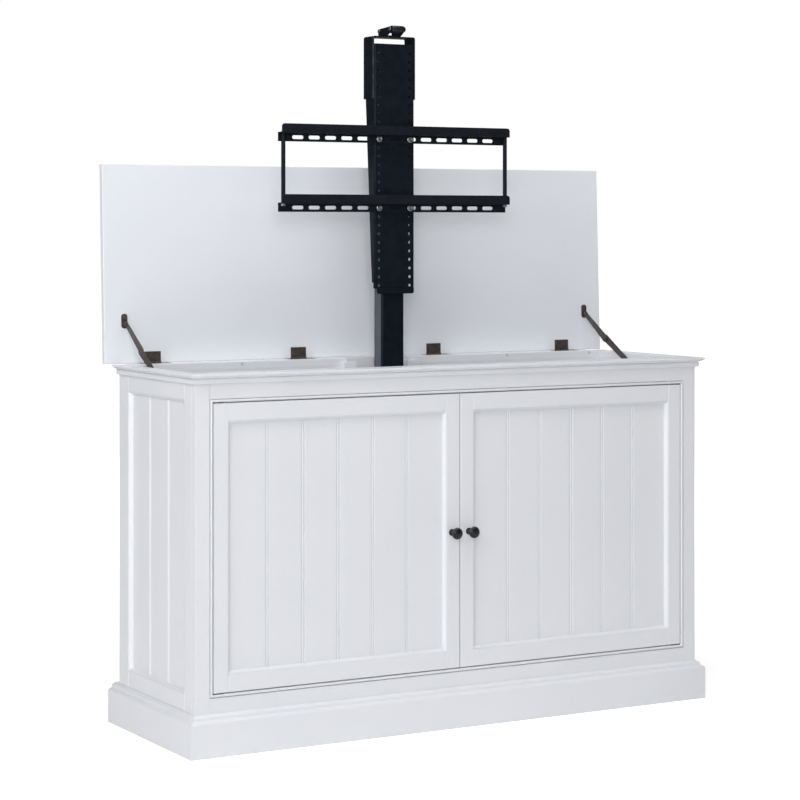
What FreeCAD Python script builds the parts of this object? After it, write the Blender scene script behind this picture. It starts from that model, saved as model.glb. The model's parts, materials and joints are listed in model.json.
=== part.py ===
"""A TV lift cabinet: a white panelled cabinet, its flap lid, and the column lift that stands in it.

The part's origin is on the floor under the middle of the plinth. +X points to the right of someone
who faces the doors, +Y to the back and +Z up. The lift is modelled raised and the lid open.
"""

import FreeCAD, Part
import math
import os
import Sketcher

# ------------------------------------------------------------------ driving dimensions (mm, degrees)

DIMENSIONS = {
    # carcass
    "cabinet_width": 1450,
    "cabinet_height": 900,
    "plinth_depth": 500,
    "plinth_step": 20,
    "plinth_back_step": 25,
    "plinth_height": 100,
    "plinth_face_height": 81,
    "plinth_board": 20,
    "plinth_ledge": 25,
    "cornice_step": 20,
    "cornice_height": 27,
    "cornice_fascia": 8,
    "moulding_quirk": 2,
    "frame_board": 20,
    "panel_thickness": 10,
    "panel_lap": 8,
    "carcass_board": 18,
    "edge_ease": 1.2,
    "groove_width": 3,
    "groove_depth": 2,
    # side frames
    "side_front_stile": 41.5,
    "side_back_stile": 58.5,
    "side_bottom_rail": 41,
    "side_top_rail": 44,
    "side_groove_spacing": 110,
    # front
    "face_stile": 37.5,
    "face_top_rail": 39.5,
    "face_bottom_rail": 36,
    "bead_width": 8,
    "bead_proud": 2.5,
    "door_gap": 2.5,
    "door_stile": 38,
    "door_rail": 43,
    "door_groove_spacing": 95.8,
    "door_pivot_inset": 5,
    "pivot_plate_length": 26,
    "pivot_plate_width": 8,
    "pivot_plate_thickness": 2,
    "pivot_pin_radius": 2,
    "pivot_pin_length": 12,
    "running_clearance": 0.05,
    "knob_height": 485,
    "knob_from_edge": 23.5,
    "knob_radius": 14.5,
    "knob_out": 34.5,
    "knob_rim_out": 28,
    "knob_rim_ease": 2,
    "knob_flare_depth": 6,
    "knob_dome_radius": 8,
    "knob_dome_depth": 1,
    "knob_rosette_radius": 8.5,
    "knob_rosette_thickness": 3,
    "knob_neck_radius": 5,
    "knob_neck_out": 15,
    # top frame round the well
    "top_frame_thickness": 20,
    "top_front_width": 50,
    "back_batten_depth": 38,
    "under_batten_height": 22,
    "recess_half_width": 95,
    "recess_depth": 20,
    "rim_strip_depth": 25,
    "rim_strip_side_gap": 25,
    "cleat_width": 38,
    "cleat_depth": 20,
    "cleat_inner": 77,
    "cleat_below_rim": 9,
    # lid and its hinges
    "lid_width": 1506,
    "lid_length": 504.5,
    "lid_thickness": 18,
    "lid_lean": 2.19,
    "hinge_axis_out": 1,
    "hinge_near": 206,
    "hinge_far": 622,
    "rim_leaf_width": 82,
    "rim_leaf_depth": 29,
    "lid_leaf_length": 26,
    "leaf_thickness": 2,
    "barrel_length": 45,
    "barrel_radius": 3,
    "barrel_pin_radius": 1.5,
    "knuckle_length": 15,
    "knuckle_gap": 0.3,
    # folding stays
    "stay_plate_width": 16,
    "stay_plate_length": 37,
    "stay_plate_above_pivot": 7,
    "stay_metal": 2.5,
    "stay_layer_gap": 0.4,
    "stay_pivot_up": 100.5,
    "stay_pivot_out": 11,
    "stay_elbow_forward": 103,
    "stay_elbow_up": 36,
    "stay_foot_forward": 213,
    "stay_foot_down": 26,
    "stay_pin_radius": 3,
    "stay_head_radius": 5,
    "stay_head_thickness": 1.5,
    "stay_narrow_radius": 6,
    "stay_wide_radius": 10.5,
    # lift: fixed parts
    "lift_metal": 2.5,
    "channel_half_width": 36.5,
    "channel_back_gap": 8.5,
    "channel_depth": 52,
    "channel_slot_half": 14,
    "channel_below_spacer": 12,
    "base_plate_thickness": 6,
    "base_plate_half_width": 70,
    "base_plate_reach": 11.5,
    "base_plate_back_gap": 5,
    "base_plate_corner": 8,
    "wall_bracket_metal": 3,
    "wall_bracket_height": 80,
    "wall_bracket_drop": 100,
    "screw_radius": 7,
    "screw_bearing_half": 15,
    "screw_bearing_height": 8,
    "motor_above_nut": 18,
    "motor_plate_thickness": 5,
    "motor_radius": 18,
    "motor_height": 110,
    "gearbox_height": 32,
    "gearbox_overhang": 6,
    "gearbox_corner": 5,
    "screw_end_gap": 2,
    "control_box_width": 140,
    "control_box_height": 90,
    "control_box_depth": 38,
    "control_box_left": 180,
    "control_box_level": 260,
    "control_box_corner": 6,
    # lift: moving column
    "stage_travel": 457.2,
    "column_gap": 1,
    "column_above_base": 10.8,
    "column_length": 633,
    "nut_height": 30,
    "nut_radius": 13,
    "nut_arm_half": 9,
    "inner_gap_side": 4.5,
    "inner_gap_front": 3,
    "inner_above_base": 7.6,
    "inner_length": 669,
    "spacer_above_column": 8,
    "glide_gap": 0.3,
    "glide_height": 60,
    "outer_glide_width": 30,
    "inner_glide_width": 16,
    # lift: carriage
    "carriage_gap": 1,
    "carriage_half_width": 60,
    "plate_above_tube": 9,
    "carriage_height": 639,
    "flange_depth": 49,
    "flange_foot_depth": 14,
    "flange_taper_height": 506,
    "flange_foot_height": 15,
    "sheet_bend": 5,
    "lip_drop": 14,
    "lip_reach": 6,
    "hole_radius": 4,
    "hole_offset": 46,
    "hole_pitch": 22.5,
    "hole_first_up": 7.5,
    "hole_rows": 28,
    "fixing_row": 2,
    "fixing_rows_apart": 4,
    "head_metal": 3,
    "head_below": 144,
    "head_above": 20,
    "head_depth": 52,
    "head_set_back": 1,
    "roller_forward": 14,
    "roller_above_head": 18,
    "roller_radius": 9,
    "roller_length": 36,
    "roller_side_gap": 0.5,
    "roller_axle_radius": 3,
    "axle_head_radius": 5,
    "axle_head_thickness": 2,
    "ear_radius": 7,
    "ear_base_front": 5,
    "ear_base_depth": 44,
    "ear_height": 21,
    "bracket_bolt_from_back": 5,
    # television rails
    "rail_half_length": 341,
    "rail_web_down": 21,
    "rail_shelf_reach": 22.5,
    "rail_lip_height": 24,
    "rail_lip_corner": 8,
    "lower_rail_hole": 9,
    "upper_rail_hole": 17,
    "slot_length": 33,
    "slot_radius": 4.75,
    "slot_pitch": 47.5,
    "slot_count": 13,
    "slot_below_shelf": 10,
    "rail_bolt_radius": 3.9,
    "flange_bolt_radius": 8.5,
    "flange_bolt_hex": 6.5,
    "flange_bolt_head": 6,
    "flange_bolt_flange": 1.5,
    "rod_radius": 5.5,
    "rod_offset": 332.5,
    "rod_back": 11,
}

document = FreeCAD.newDocument("TvLiftCabinet")
sheet = document.addObject("Spreadsheet::Sheet", "Sizes")
for row, (alias, number) in enumerate(DIMENSIONS.items(), start=1):
    sheet.set(f"A{row}", alias)
    sheet.set(f"B{row}", str(number))
    sheet.setAlias(f"B{row}", alias)
document.recompute()


# ------------------------------------------------------------------ sizes that carry their expression

class Size:
    """A number together with the spreadsheet expression that gives it."""

    def __init__(self, value, text):
        self.value = value
        self.text = text

    def __add__(self, other):
        return combine(self, other, "+", self.value + as_size(other).value)

    def __radd__(self, other):
        return as_size(other) + self

    def __sub__(self, other):
        return combine(self, other, "-", self.value - as_size(other).value)

    def __rsub__(self, other):
        return as_size(other) - self

    def __mul__(self, other):
        return combine(self, other, "*", self.value * as_size(other).value)

    def __rmul__(self, other):
        return as_size(other) * self

    def __truediv__(self, other):
        return combine(self, other, "/", self.value / as_size(other).value)

    def __neg__(self):
        return Size(-self.value, f"(-{self.text})")


def as_size(number):
    """Any plain number as a Size; a Size stays as it is."""
    if isinstance(number, Size):
        return number
    return Size(float(number), f"({number})")


def combine(first, second, sign, value):
    return Size(value, f"({first.text} {sign} {as_size(second).text})")


def sine(angle):
    return Size(math.sin(math.radians(angle.value)), f"sin({angle.text} * 1deg)")


def cosine(angle):
    return Size(math.cos(math.radians(angle.value)), f"cos({angle.text} * 1deg)")


def distance(across, up):
    return Size(math.hypot(across.value, up.value), f"hypot({across.text}; {up.text})")


def direction(across, up):
    """Angle in degrees of the line that runs across and up."""
    value = math.degrees(math.atan2(up.value, across.value))
    return Size(value, f"(atan2({up.text}; {across.text}) / 1deg)")


class Dimensions:
    """Gives each spreadsheet cell by its alias."""

    def __getattr__(self, alias):
        return Size(DIMENSIONS[alias], f"Sizes.{alias}")


size = Dimensions()

# ------------------------------------------------------------------ modelling helpers

TOOL_EXCESS = 1  # how far a cutting tool runs past the face it cuts

UPRIGHT = FreeCAD.Rotation()
ALONG_X = FreeCAD.Rotation(FreeCAD.Vector(0, 1, 0), 90)
ALONG_Y = FreeCAD.Rotation(FreeCAD.Vector(1, 0, 0), -90)

nodes = []


def bind(item, path, number):
    item.setExpression(path, as_size(number).text)


def place(item, position, turn=UPRIGHT):
    """Puts the item's own origin at a position of three sizes."""
    item.Placement = FreeCAD.Placement(FreeCAD.Vector(), turn)
    for letter, number in zip("xyz", position):
        bind(item, f".Placement.Base.{letter}", number)
    return item


def tilt(item, position, angle):
    """Moves the item to a position and turns it about the X axis through that point."""
    place(item, position, FreeCAD.Rotation(FreeCAD.Vector(1, 0, 0), 10))
    bind(item, ".Placement.Rotation.Angle", angle)
    return item


def box(span_x, span_y, span_z):
    """A block between the low and high value on each axis."""
    item = document.addObject("Part::Box", "block")
    for prop, span in zip(("Length", "Width", "Height"), (span_x, span_y, span_z)):
        bind(item, prop, span[1] - span[0])
    return place(item, (span_x[0], span_y[0], span_z[0]))


def round_bar(radius, length, start, turn=UPRIGHT):
    """A cylinder that grows from its start point along Z, or along X or Y as turned."""
    item = document.addObject("Part::Cylinder", "bar")
    bind(item, "Radius", radius)
    bind(item, "Height", length)
    return place(item, start, turn)


def hexagon_bar(radius, length, start, turn=UPRIGHT):
    item = document.addObject("Part::Prism", "hexagon")
    item.Polygon = 6
    bind(item, "Circumradius", radius)
    bind(item, "Height", length)
    return place(item, start, turn)


def join(*items):
    item = document.addObject("Part::MultiFuse", "joined")
    item.Shapes = list(items)
    item.Refine = True
    return item


def group(*items):
    """Several solids that stay separate but are one sub-part."""
    item = document.addObject("Part::Compound", "group")
    item.Links = list(items)
    return item


def cut(base, *tools):
    item = document.addObject("Part::Cut", "cut")
    item.Base = base
    item.Tool = tools[0] if len(tools) == 1 else group(*tools)
    return item


def mirrored(source):
    """The same piece on the other side of the cabinet's middle."""
    item = document.addObject("Part::Mirroring", "mirrored")
    item.Source = source
    item.Normal = FreeCAD.Vector(1, 0, 0)
    return item


def node(label, item):
    """Names a finished sub-part."""
    item.Label = label
    nodes.append(item)
    return item


def pair(item):
    return group(item, mirrored(item))


class Body:
    """A PartDesign body and short ways to add its sketches and features."""

    def __init__(self, name):
        self.item = document.addObject("PartDesign::Body", name)

    def origin(self, role):
        return next(f for f in self.item.Origin.OriginFeatures if f.Role == role)

    def sketch(self, plane, offset=0):
        sketch = self.item.newObject("Sketcher::SketchObject", "Sketch")
        sketch.AttachmentSupport = [(self.origin(plane + "_Plane"), "")]
        sketch.MapMode = "FlatFace"
        bind(sketch, ".AttachmentOffset.Base.z", offset)
        return sketch

    def pad(self, sketch, length, symmetric=False):
        pad = self.item.newObject("PartDesign::Pad", "Pad")
        pad.Profile = sketch
        pad.SideType = "Symmetric" if symmetric else "One side"
        bind(pad, "Length", length)
        return pad

    def pocket(self, sketch, both_ways=False):
        pocket = self.item.newObject("PartDesign::Pocket", "Pocket")
        pocket.Profile = sketch
        pocket.Type = "ThroughAll"
        pocket.Midplane = both_ways
        return pocket

    def revolve(self, sketch, axis="V_Axis"):
        turned = self.item.newObject("PartDesign::Revolution", "Revolution")
        turned.Profile = sketch
        turned.ReferenceAxis = (sketch, [axis])
        turned.Angle = 360
        return turned

    def repeat(self, feature, axis, spacing, count):
        pattern = self.item.newObject("PartDesign::LinearPattern", "Pattern")
        pattern.Originals = [feature]
        pattern.Direction = (self.origin(axis + "_Axis"), [""])
        pattern.Mode = "Spacing"
        bind(pattern, "Offset", spacing)
        bind(pattern, "Occurrences", count)
        self.item.Tip = pattern
        return pattern

    def ease(self, kind, amount, chosen=lambda middle: True):
        """Chamfers or fillets the edges whose middle point is chosen."""
        document.recompute()
        base = self.item.Tip
        names = []
        for number, edge in enumerate(base.Shape.Edges, start=1):
            if chosen(edge.BoundBox.Center):
                names.append(f"Edge{number}")
        eased = self.item.newObject("PartDesign::" + kind, kind)
        eased.Base = (base, names)
        bind(eased, "Size" if kind == "Chamfer" else "Radius", amount)
        self.item.Tip = eased
        return eased


def pin_point(sketch, geometry, position, corner):
    """Holds one point of a sketch at its two sizes from the sketch's origin."""
    for kind, number in zip(("DistanceX", "DistanceY"), corner):
        rule = Sketcher.Constraint(kind, -1, 1, geometry, position, as_size(number).value)
        bind(sketch, f"Constraints[{sketch.addConstraint(rule)}]", number)


def arc_between(first, last, radius, turn):
    """The short arc from first to last; turn is 1 for anticlockwise and -1 for clockwise."""
    chord = last - first
    lift = math.sqrt(max(radius ** 2 - (chord.Length / 2) ** 2, 0))
    normal = FreeCAD.Vector(-chord.y, chord.x, 0).normalize()
    centre = (first + last) / 2 + normal * lift * turn
    start, end = (first, last) if turn > 0 else (last, first)
    angles = [math.atan2(p.y - centre.y, p.x - centre.x) for p in (start, end)]
    if angles[1] <= angles[0]:
        angles[1] += 2 * math.pi
    circle = Part.Circle(centre, FreeCAD.Vector(0, 0, 1), radius)
    return Part.ArcOfCircle(circle, angles[0], angles[1])


def hold_arc(sketch, number, before, corner):
    """Fixes an arc by its radius, or a half circle, whose ends are pinned, by its centre."""
    across = (as_size(before[0]) + corner[0]) / 2
    up = (as_size(before[1]) + corner[1]) / 2
    chord_x = as_size(corner[0]).value - as_size(before[0]).value
    chord_y = as_size(corner[1]).value - as_size(before[1]).value
    radius = as_size(corner[2])
    if math.hypot(chord_x, chord_y) < 2 * radius.value - 1e-6:
        rule = Sketcher.Constraint("Radius", number, radius.value)
        middle = radius
    elif abs(chord_y) > abs(chord_x):
        rule = Sketcher.Constraint("DistanceX", -1, 1, number, 3, across.value)
        middle = across
    else:
        rule = Sketcher.Constraint("DistanceY", -1, 1, number, 3, up.value)
        middle = up
    bind(sketch, f"Constraints[{sketch.addConstraint(rule)}]", middle)


def outline(sketch, corners):
    """Closed outline; a corner of four values is reached by an arc: across, up, radius, turn."""
    points = [FreeCAD.Vector(as_size(c[0]).value, as_size(c[1]).value, 0) for c in corners]
    ends = []
    for index, corner in enumerate(corners):
        first = points[index - 1]
        last = points[index]
        if len(corner) == 2:
            number = sketch.addGeometry(Part.LineSegment(first, last))
            ends.append((number, 1, 2))
            continue
        radius, turn = corner[2:]
        number = sketch.addGeometry(arc_between(first, last, as_size(radius).value, turn))
        hold_arc(sketch, number, corners[index - 1], corner)
        ends.append((number, 1, 2) if turn > 0 else (number, 2, 1))
    for index, corner in enumerate(corners):
        number, start, end = ends[index]
        following = ends[(index + 1) % len(ends)]
        sketch.addConstraint(Sketcher.Constraint("Coincident", number, end, following[0], following[1]))
        pin_point(sketch, number, end, corner[:2])


def rectangle(sketch, span_x, span_y):
    outline(sketch, [
        (span_x[0], span_y[0]),
        (span_x[1], span_y[0]),
        (span_x[1], span_y[1]),
        (span_x[0], span_y[1]),
    ])


def rounded_rectangle(sketch, span_x, span_y, radius):
    left, right = span_x
    low, high = span_y
    outline(sketch, [
        (left + radius, low),
        (right - radius, low),
        (right, low + radius, radius, 1),
        (right, high - radius),
        (right - radius, high, radius, 1),
        (left + radius, high),
        (left, high - radius, radius, 1),
        (left, low + radius),
        (left + radius, low, radius, 1),
    ][1:])


def circle(sketch, centre, radius):
    middle = FreeCAD.Vector(as_size(centre[0]).value, as_size(centre[1]).value, 0)
    shape = Part.Circle(middle, FreeCAD.Vector(0, 0, 1), as_size(radius).value)
    number = sketch.addGeometry(shape)
    rule = Sketcher.Constraint("Radius", number, as_size(radius).value)
    bind(sketch, f"Constraints[{sketch.addConstraint(rule)}]", radius)
    pin_point(sketch, number, 3, centre)


def drilled(sketch, centre, radius):
    """A small hole with twelve flats inside its circle, which keeps a long row of them light."""
    sides = 12
    corners = []
    for number in range(sides):
        angle = 2 * math.pi * (number + 0.5) / sides
        corners.append((centre[0] + radius * math.cos(angle), centre[1] + radius * math.sin(angle)))
    outline(sketch, corners)


def board(name, span_x, span_y, span_z, ease=None):
    """A straight board, with all its edges eased where an amount is given."""
    body = Body(name)
    face = body.sketch("XY", span_z[0])
    rectangle(face, span_x, span_y)
    body.pad(face, span_z[1] - span_z[0])
    if ease is not None:
        body.ease("Chamfer", ease)
    return body.item


# ------------------------------------------------------------------ places shared by the sub-parts

half_width = size.cabinet_width / 2
front = size.plinth_step - size.plinth_depth / 2
back = size.plinth_depth / 2 - size.plinth_back_step
bottom = size.plinth_height
top = size.cabinet_height
rim_bottom = top - size.top_frame_thickness

frame_back = front + size.frame_board
side_inner = half_width - size.frame_board
floor_top = bottom + size.carcass_board
back_inner = back - size.carcass_board

opening_half = half_width - size.face_stile - size.bead_width
opening_low = bottom + size.face_bottom_rail + size.bead_width
opening_high = rim_bottom - size.face_top_rail - size.bead_width

hinge_axis = back + size.rim_strip_depth + size.hinge_axis_out

cleat_back = back - size.back_batten_depth
cleat_front = cleat_back - size.cleat_depth
base_top = floor_top + size.base_plate_thickness
channel_back = cleat_front - size.channel_back_gap
channel_front = channel_back - size.channel_depth
lift_centre = (channel_front + channel_back) / 2
screw_axis = (cleat_front + back_inner) / 2

column_half = size.channel_half_width - size.lift_metal - size.column_gap
column_front = channel_front + size.lift_metal + size.column_gap
column_back = channel_back - size.lift_metal - size.column_gap
column_bottom = base_top + size.stage_travel + size.column_above_base
column_top = column_bottom + size.column_length
inner_half = column_half - size.lift_metal - size.inner_gap_side
inner_front = column_front + size.lift_metal + size.inner_gap_front
inner_back = column_back - size.lift_metal - size.inner_gap_front
inner_bottom = base_top + size.stage_travel * 2 + size.inner_above_base
inner_top = inner_bottom + size.inner_length

carriage_front = channel_front - size.carriage_gap - size.lift_metal
carriage_top = inner_top + size.plate_above_tube
carriage_bottom = carriage_top - size.carriage_height
first_hole = carriage_bottom + size.hole_first_up
spacer_low = column_top + size.stage_travel + size.spacer_above_column
channel_top = spacer_low - size.stage_travel * 2 - size.channel_below_spacer


# ------------------------------------------------------------------ plinth and cornice

def mitre(body, corners):
    """Cuts triangles off in plan, over the whole height."""
    for corner in corners:
        plan = body.sketch("XY")
        outline(plan, corner)
        body.pocket(plan, both_ways=True)


def moulded_lengths(prefix, section, depth_span, reach, face_half):
    """Front, left and right lengths of a moulding that is mitred at the two front corners.

    section gives the outline for a face that looks to the low end of the sketch, reach is the
    moulding's depth in plan, depth_span its run from front to back, face_half half its width.
    """
    front_face, back_end = depth_span
    front_inner = front_face + reach
    side_face = -face_half
    side_inner_face = side_face + reach

    across = Body(prefix + "_front")
    profile = across.sketch("YZ")
    outline(profile, section(front_face))
    across.pad(profile, face_half * 2, symmetric=True)
    left_corner = [
        (side_face, front_face),
        (side_inner_face, front_inner),
        (side_face, front_inner),
    ]
    right_corner = [(-corner[0], corner[1]) for corner in left_corner]
    mitre(across, [left_corner, right_corner])
    node(prefix + "_front", across.item)

    along = Body(prefix + "_left")
    profile = along.sketch("XZ", -back_end)
    outline(profile, section(side_face))
    along.pad(profile, back_end - front_face)
    mitre(along, [[
        (side_face, front_face),
        (side_inner_face, front_face),
        (side_inner_face, front_inner),
    ]])
    node(prefix + "_left", along.item)
    node(prefix + "_right", mirrored(along.item))


def plinth_outline(face):
    """Upright board, then a quirk and a cove that run up under the cabinet, with a ledge inside."""
    quirk = size.moulding_quirk
    cove = size.plinth_height - size.plinth_face_height - quirk * 2
    cove_foot = face + quirk + cove
    return [
        (face, as_size(0)),
        (face + size.plinth_board, as_size(0)),
        (face + size.plinth_board, size.plinth_face_height),
        (face + size.plinth_board + size.plinth_ledge, size.plinth_face_height),
        (face + size.plinth_board + size.plinth_ledge, size.plinth_height),
        (cove_foot, size.plinth_height),
        (cove_foot, size.plinth_height - quirk),
        (face + quirk, size.plinth_face_height + quirk, cove, 1),
        (face, size.plinth_face_height),
    ]


def cornice_outline(face):
    """Flat fascia over a quirk, a cove and a small foot against the cabinet."""
    quirk = size.moulding_quirk
    low = top - size.cornice_height
    fascia_low = top - size.cornice_fascia
    cove = size.cornice_step - quirk * 2
    cove_low = fascia_low - quirk - cove
    return [
        (face, top),
        (face, fascia_low),
        (face + quirk, fascia_low - quirk),
        (face + quirk + cove, cove_low, cove, -1),
        (face + quirk + cove, low),
        (face + size.cornice_step, low),
        (face + size.cornice_step, top),
    ]


def build_plinth():
    face_half = half_width + size.plinth_step
    depth_span = (-size.plinth_depth / 2, size.plinth_depth / 2)
    reach = size.plinth_board + size.plinth_ledge
    moulded_lengths("plinth", plinth_outline, depth_span, reach, face_half)

    inner_low = face_half - size.plinth_board
    inner_high = inner_low - size.plinth_ledge
    body = Body("plinth_back")
    profile = body.sketch("XZ", -back)
    outline(profile, [
        (-inner_low, as_size(0)),
        (inner_low, as_size(0)),
        (inner_low, size.plinth_face_height),
        (inner_high, size.plinth_face_height),
        (inner_high, size.plinth_height),
        (-inner_high, size.plinth_height),
        (-inner_high, size.plinth_face_height),
        (-inner_low, size.plinth_face_height),
    ])
    body.pad(profile, size.plinth_board)
    node("plinth_back", body.item)


def build_cornice():
    face_half = half_width + size.cornice_step
    depth_span = (front - size.cornice_step, back)
    moulded_lengths("cornice", cornice_outline, depth_span, size.cornice_step, face_half)


# ------------------------------------------------------------------ carcass

def build_sides():
    """Each side is a frame of two stiles and two rails round a boarded panel set in a rebate."""
    span_x = (-half_width, -side_inner)
    window_front = frame_back + size.side_front_stile
    window_back = back - size.side_back_stile
    window_low = bottom + size.side_bottom_rail
    window_high = rim_bottom - size.side_top_rail
    upright = (bottom, rim_bottom)
    ease = size.edge_ease
    boards = group(
        board("side_front_stile", span_x, (frame_back, window_front), upright, ease),
        board("side_back_stile", span_x, (window_back, back), upright, ease),
        board("side_bottom_rail", span_x, (window_front, window_back), (bottom, window_low), ease),
        board("side_top_rail", span_x, (window_front, window_back), (window_high, rim_bottom), ease),
    )
    rebate_x = (-side_inner - size.panel_thickness, -side_inner)
    rebate_y = (window_front - size.panel_lap, window_back + size.panel_lap)
    rebate_z = (window_low - size.panel_lap, window_high + size.panel_lap)
    tool_x = (rebate_x[0], rebate_x[1] + TOOL_EXCESS)
    frame = node("side_frame_left", cut(boards, box(tool_x, rebate_y, rebate_z)))
    node("side_frame_right", mirrored(frame))

    body = Body("side_panel_left")
    plan = body.sketch("XY", rebate_z[0])
    rectangle(plan, rebate_x, rebate_y)
    body.pad(plan, rebate_z[1] - rebate_z[0])
    middle = (window_front + window_back) / 2
    groove = body.sketch("XY", rebate_z[0])
    first = middle - size.side_groove_spacing / 2
    outline(groove, [
        (rebate_x[0], first - size.groove_width / 2),
        (rebate_x[0] + size.groove_depth, first),
        (rebate_x[0], first + size.groove_width / 2),
    ])
    body.repeat(body.pocket(groove, both_ways=True), "Y", size.side_groove_spacing, 2)
    panel = node("side_panel_left", body.item)
    node("side_panel_right", mirrored(panel))


def build_face_frame():
    """Stiles and rails on the cabinet's front, and the raised bead round the door opening."""
    span_y = (front, frame_back)
    inner = half_width - size.face_stile
    low = bottom + size.face_bottom_rail
    high = rim_bottom - size.face_top_rail
    stile = board("face_stile", (-half_width, -inner), span_y, (bottom, rim_bottom))
    node("face_frame", group(
        pair(stile),
        board("face_bottom_rail", (-inner, inner), span_y, (bottom, low)),
        board("face_top_rail", (-inner, inner), span_y, (high, rim_bottom)),
    ))

    body = Body("opening_bead")
    ring = body.sketch("XZ", -frame_back)
    rectangle(ring, (-inner, inner), (low, high))
    rectangle(ring, (-opening_half, opening_half), (opening_low, opening_high))
    body.pad(ring, size.frame_board + size.bead_proud)
    face = (front - size.bead_proud).value
    body.ease("Fillet", size.bead_proud / 2, lambda middle: abs(middle.y - face) < 0.01)
    node("opening_bead", body.item)


def build_inside():
    """Floor, back, the two uprights that the lift is screwed to and the battens under the back rail."""
    span_x = (-side_inner, side_inner)
    node("floor_panel", box(span_x, (frame_back, back), (bottom, floor_top)))
    node("back_panel", box(span_x, (back_inner, back), (floor_top, rim_bottom)))
    cleat = box(
        (size.cleat_inner, size.cleat_inner + size.cleat_width),
        (cleat_front, cleat_back),
        (floor_top, top - size.cleat_below_rim),
    )
    under_batten = box(
        (size.recess_half_width, side_inner),
        (cleat_back, back_inner),
        (rim_bottom - size.under_batten_height, rim_bottom),
    )
    node("lift_uprights", pair(group(cleat, under_batten)))


def hinge_places():
    return (-size.hinge_far, -size.hinge_near, size.hinge_near, size.hinge_far)


def build_top_frame():
    """Boards round the well: front and side rails, the back batten with its recess, the rim strip."""
    upright = (rim_bottom, top)
    well_front = front + size.top_front_width
    node("top_front_rail", box((-half_width, half_width), (front, well_front), upright))
    node("top_side_rails", pair(box((-half_width, -side_inner), (well_front, back), upright)))

    batten_front = cleat_back
    recess_back = batten_front + size.recess_depth
    strip_half = half_width - size.rim_strip_side_gap
    strip_back = back + size.rim_strip_depth
    body = Body("top_back_blank")
    plan = body.sketch("XY", rim_bottom)
    outline(plan, [
        (-side_inner, batten_front),
        (-size.recess_half_width, batten_front),
        (-size.recess_half_width, recess_back),
        (size.recess_half_width, recess_back),
        (size.recess_half_width, batten_front),
        (side_inner, batten_front),
        (side_inner, back),
        (strip_half, back),
        (strip_half, strip_back),
        (-strip_half, strip_back),
        (-strip_half, back),
        (-side_inner, back),
    ])
    body.pad(plan, size.top_frame_thickness)
    notch = size.barrel_radius + size.knuckle_gap
    tools = []
    for place_x in hinge_places():
        tools.append(box(
            (place_x - size.rim_leaf_width / 2, place_x + size.rim_leaf_width / 2),
            (strip_back + size.hinge_axis_out - size.barrel_radius - size.rim_leaf_depth + 1, strip_back + 1),
            (top - size.leaf_thickness, top + TOOL_EXCESS),
        ))
        tools.append(box(
            (place_x - size.barrel_length / 2 - 1, place_x + size.barrel_length / 2 + 1),
            (hinge_axis - notch, hinge_axis),
            (top - notch, top + TOOL_EXCESS),
        ))
    node("top_back_rail", cut(body.item, *tools))


# ------------------------------------------------------------------ doors

def build_doors():
    """Two inset doors, each a frame of stiles and rails round a boarded panel, on hidden pivots."""
    outer = opening_half - size.door_gap
    meeting = size.door_gap / 2
    low = opening_low + size.door_gap
    high = opening_high - size.door_gap
    span_y = (front, frame_back)
    outer_inner = outer - size.door_stile
    meeting_inner = meeting + size.door_stile
    ease = size.edge_ease
    window_x = (-outer_inner, -meeting_inner)
    boards = group(
        board("door_outer_stile", (-outer, -outer_inner), span_y, (low, high), ease),
        board("door_meeting_stile", (-meeting_inner, -meeting), span_y, (low, high), ease),
        board("door_bottom_rail", window_x, span_y, (low, low + size.door_rail), ease),
        board("door_top_rail", window_x, span_y, (high - size.door_rail, high), ease),
    )
    panel_x = (window_x[0] - size.panel_lap, window_x[1] + size.panel_lap)
    panel_y = (frame_back - size.panel_thickness, frame_back)
    panel_z = (low + size.door_rail - size.panel_lap, high - size.door_rail + size.panel_lap)
    rebate = box(panel_x, (panel_y[0], panel_y[1] + TOOL_EXCESS), panel_z)

    pivot_x = size.door_pivot_inset - outer
    pivot_y = front + size.door_pivot_inset
    hole = size.pivot_pin_length + 1
    hole_radius = size.pivot_pin_radius + size.running_clearance
    low_hole = round_bar(hole_radius, hole + TOOL_EXCESS, (pivot_x, pivot_y, low - TOOL_EXCESS))
    high_hole = round_bar(hole_radius, hole + TOOL_EXCESS, (pivot_x, pivot_y, high - hole))
    frame = node("door_frame_left", cut(boards, rebate, low_hole, high_hole))
    node("door_frame_right", mirrored(frame))

    body = Body("door_panel_left")
    plan = body.sketch("XY", panel_z[0])
    rectangle(plan, panel_x, panel_y)
    body.pad(plan, panel_z[1] - panel_z[0])
    groove = body.sketch("XY", panel_z[0])
    first = (window_x[0] + window_x[1]) / 2 - size.door_groove_spacing * 2
    outline(groove, [
        (first - size.groove_width / 2, panel_y[0]),
        (first, panel_y[0] + size.groove_depth),
        (first + size.groove_width / 2, panel_y[0]),
    ])
    body.repeat(body.pocket(groove, both_ways=True), "X", size.door_groove_spacing, 5)
    panel = node("door_panel_left", body.item)
    node("door_panel_right", mirrored(panel))

    knob = place(knob_body(), (-meeting - size.knob_from_edge, front, size.knob_height))
    node("door_knob_left", knob)
    node("door_knob_right", mirrored(knob))

    plate = size.pivot_plate_thickness
    plate_x = (pivot_x - size.door_pivot_inset, pivot_x - size.door_pivot_inset + size.pivot_plate_length)
    plate_y = (pivot_y - size.pivot_plate_width / 2, pivot_y + size.pivot_plate_width / 2)
    radius = size.pivot_pin_radius
    low_pivot = join(
        box(plate_x, plate_y, (opening_low, opening_low + plate)),
        round_bar(radius, size.pivot_pin_length + size.door_gap, (pivot_x, pivot_y, opening_low)),
    )
    high_pivot = join(
        box(plate_x, plate_y, (opening_high - plate, opening_high)),
        round_bar(radius, size.pivot_pin_length + size.door_gap, (pivot_x, pivot_y, high - size.pivot_pin_length)),
    )
    node("door_pivots", pair(group(low_pivot, high_pivot)))


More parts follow.
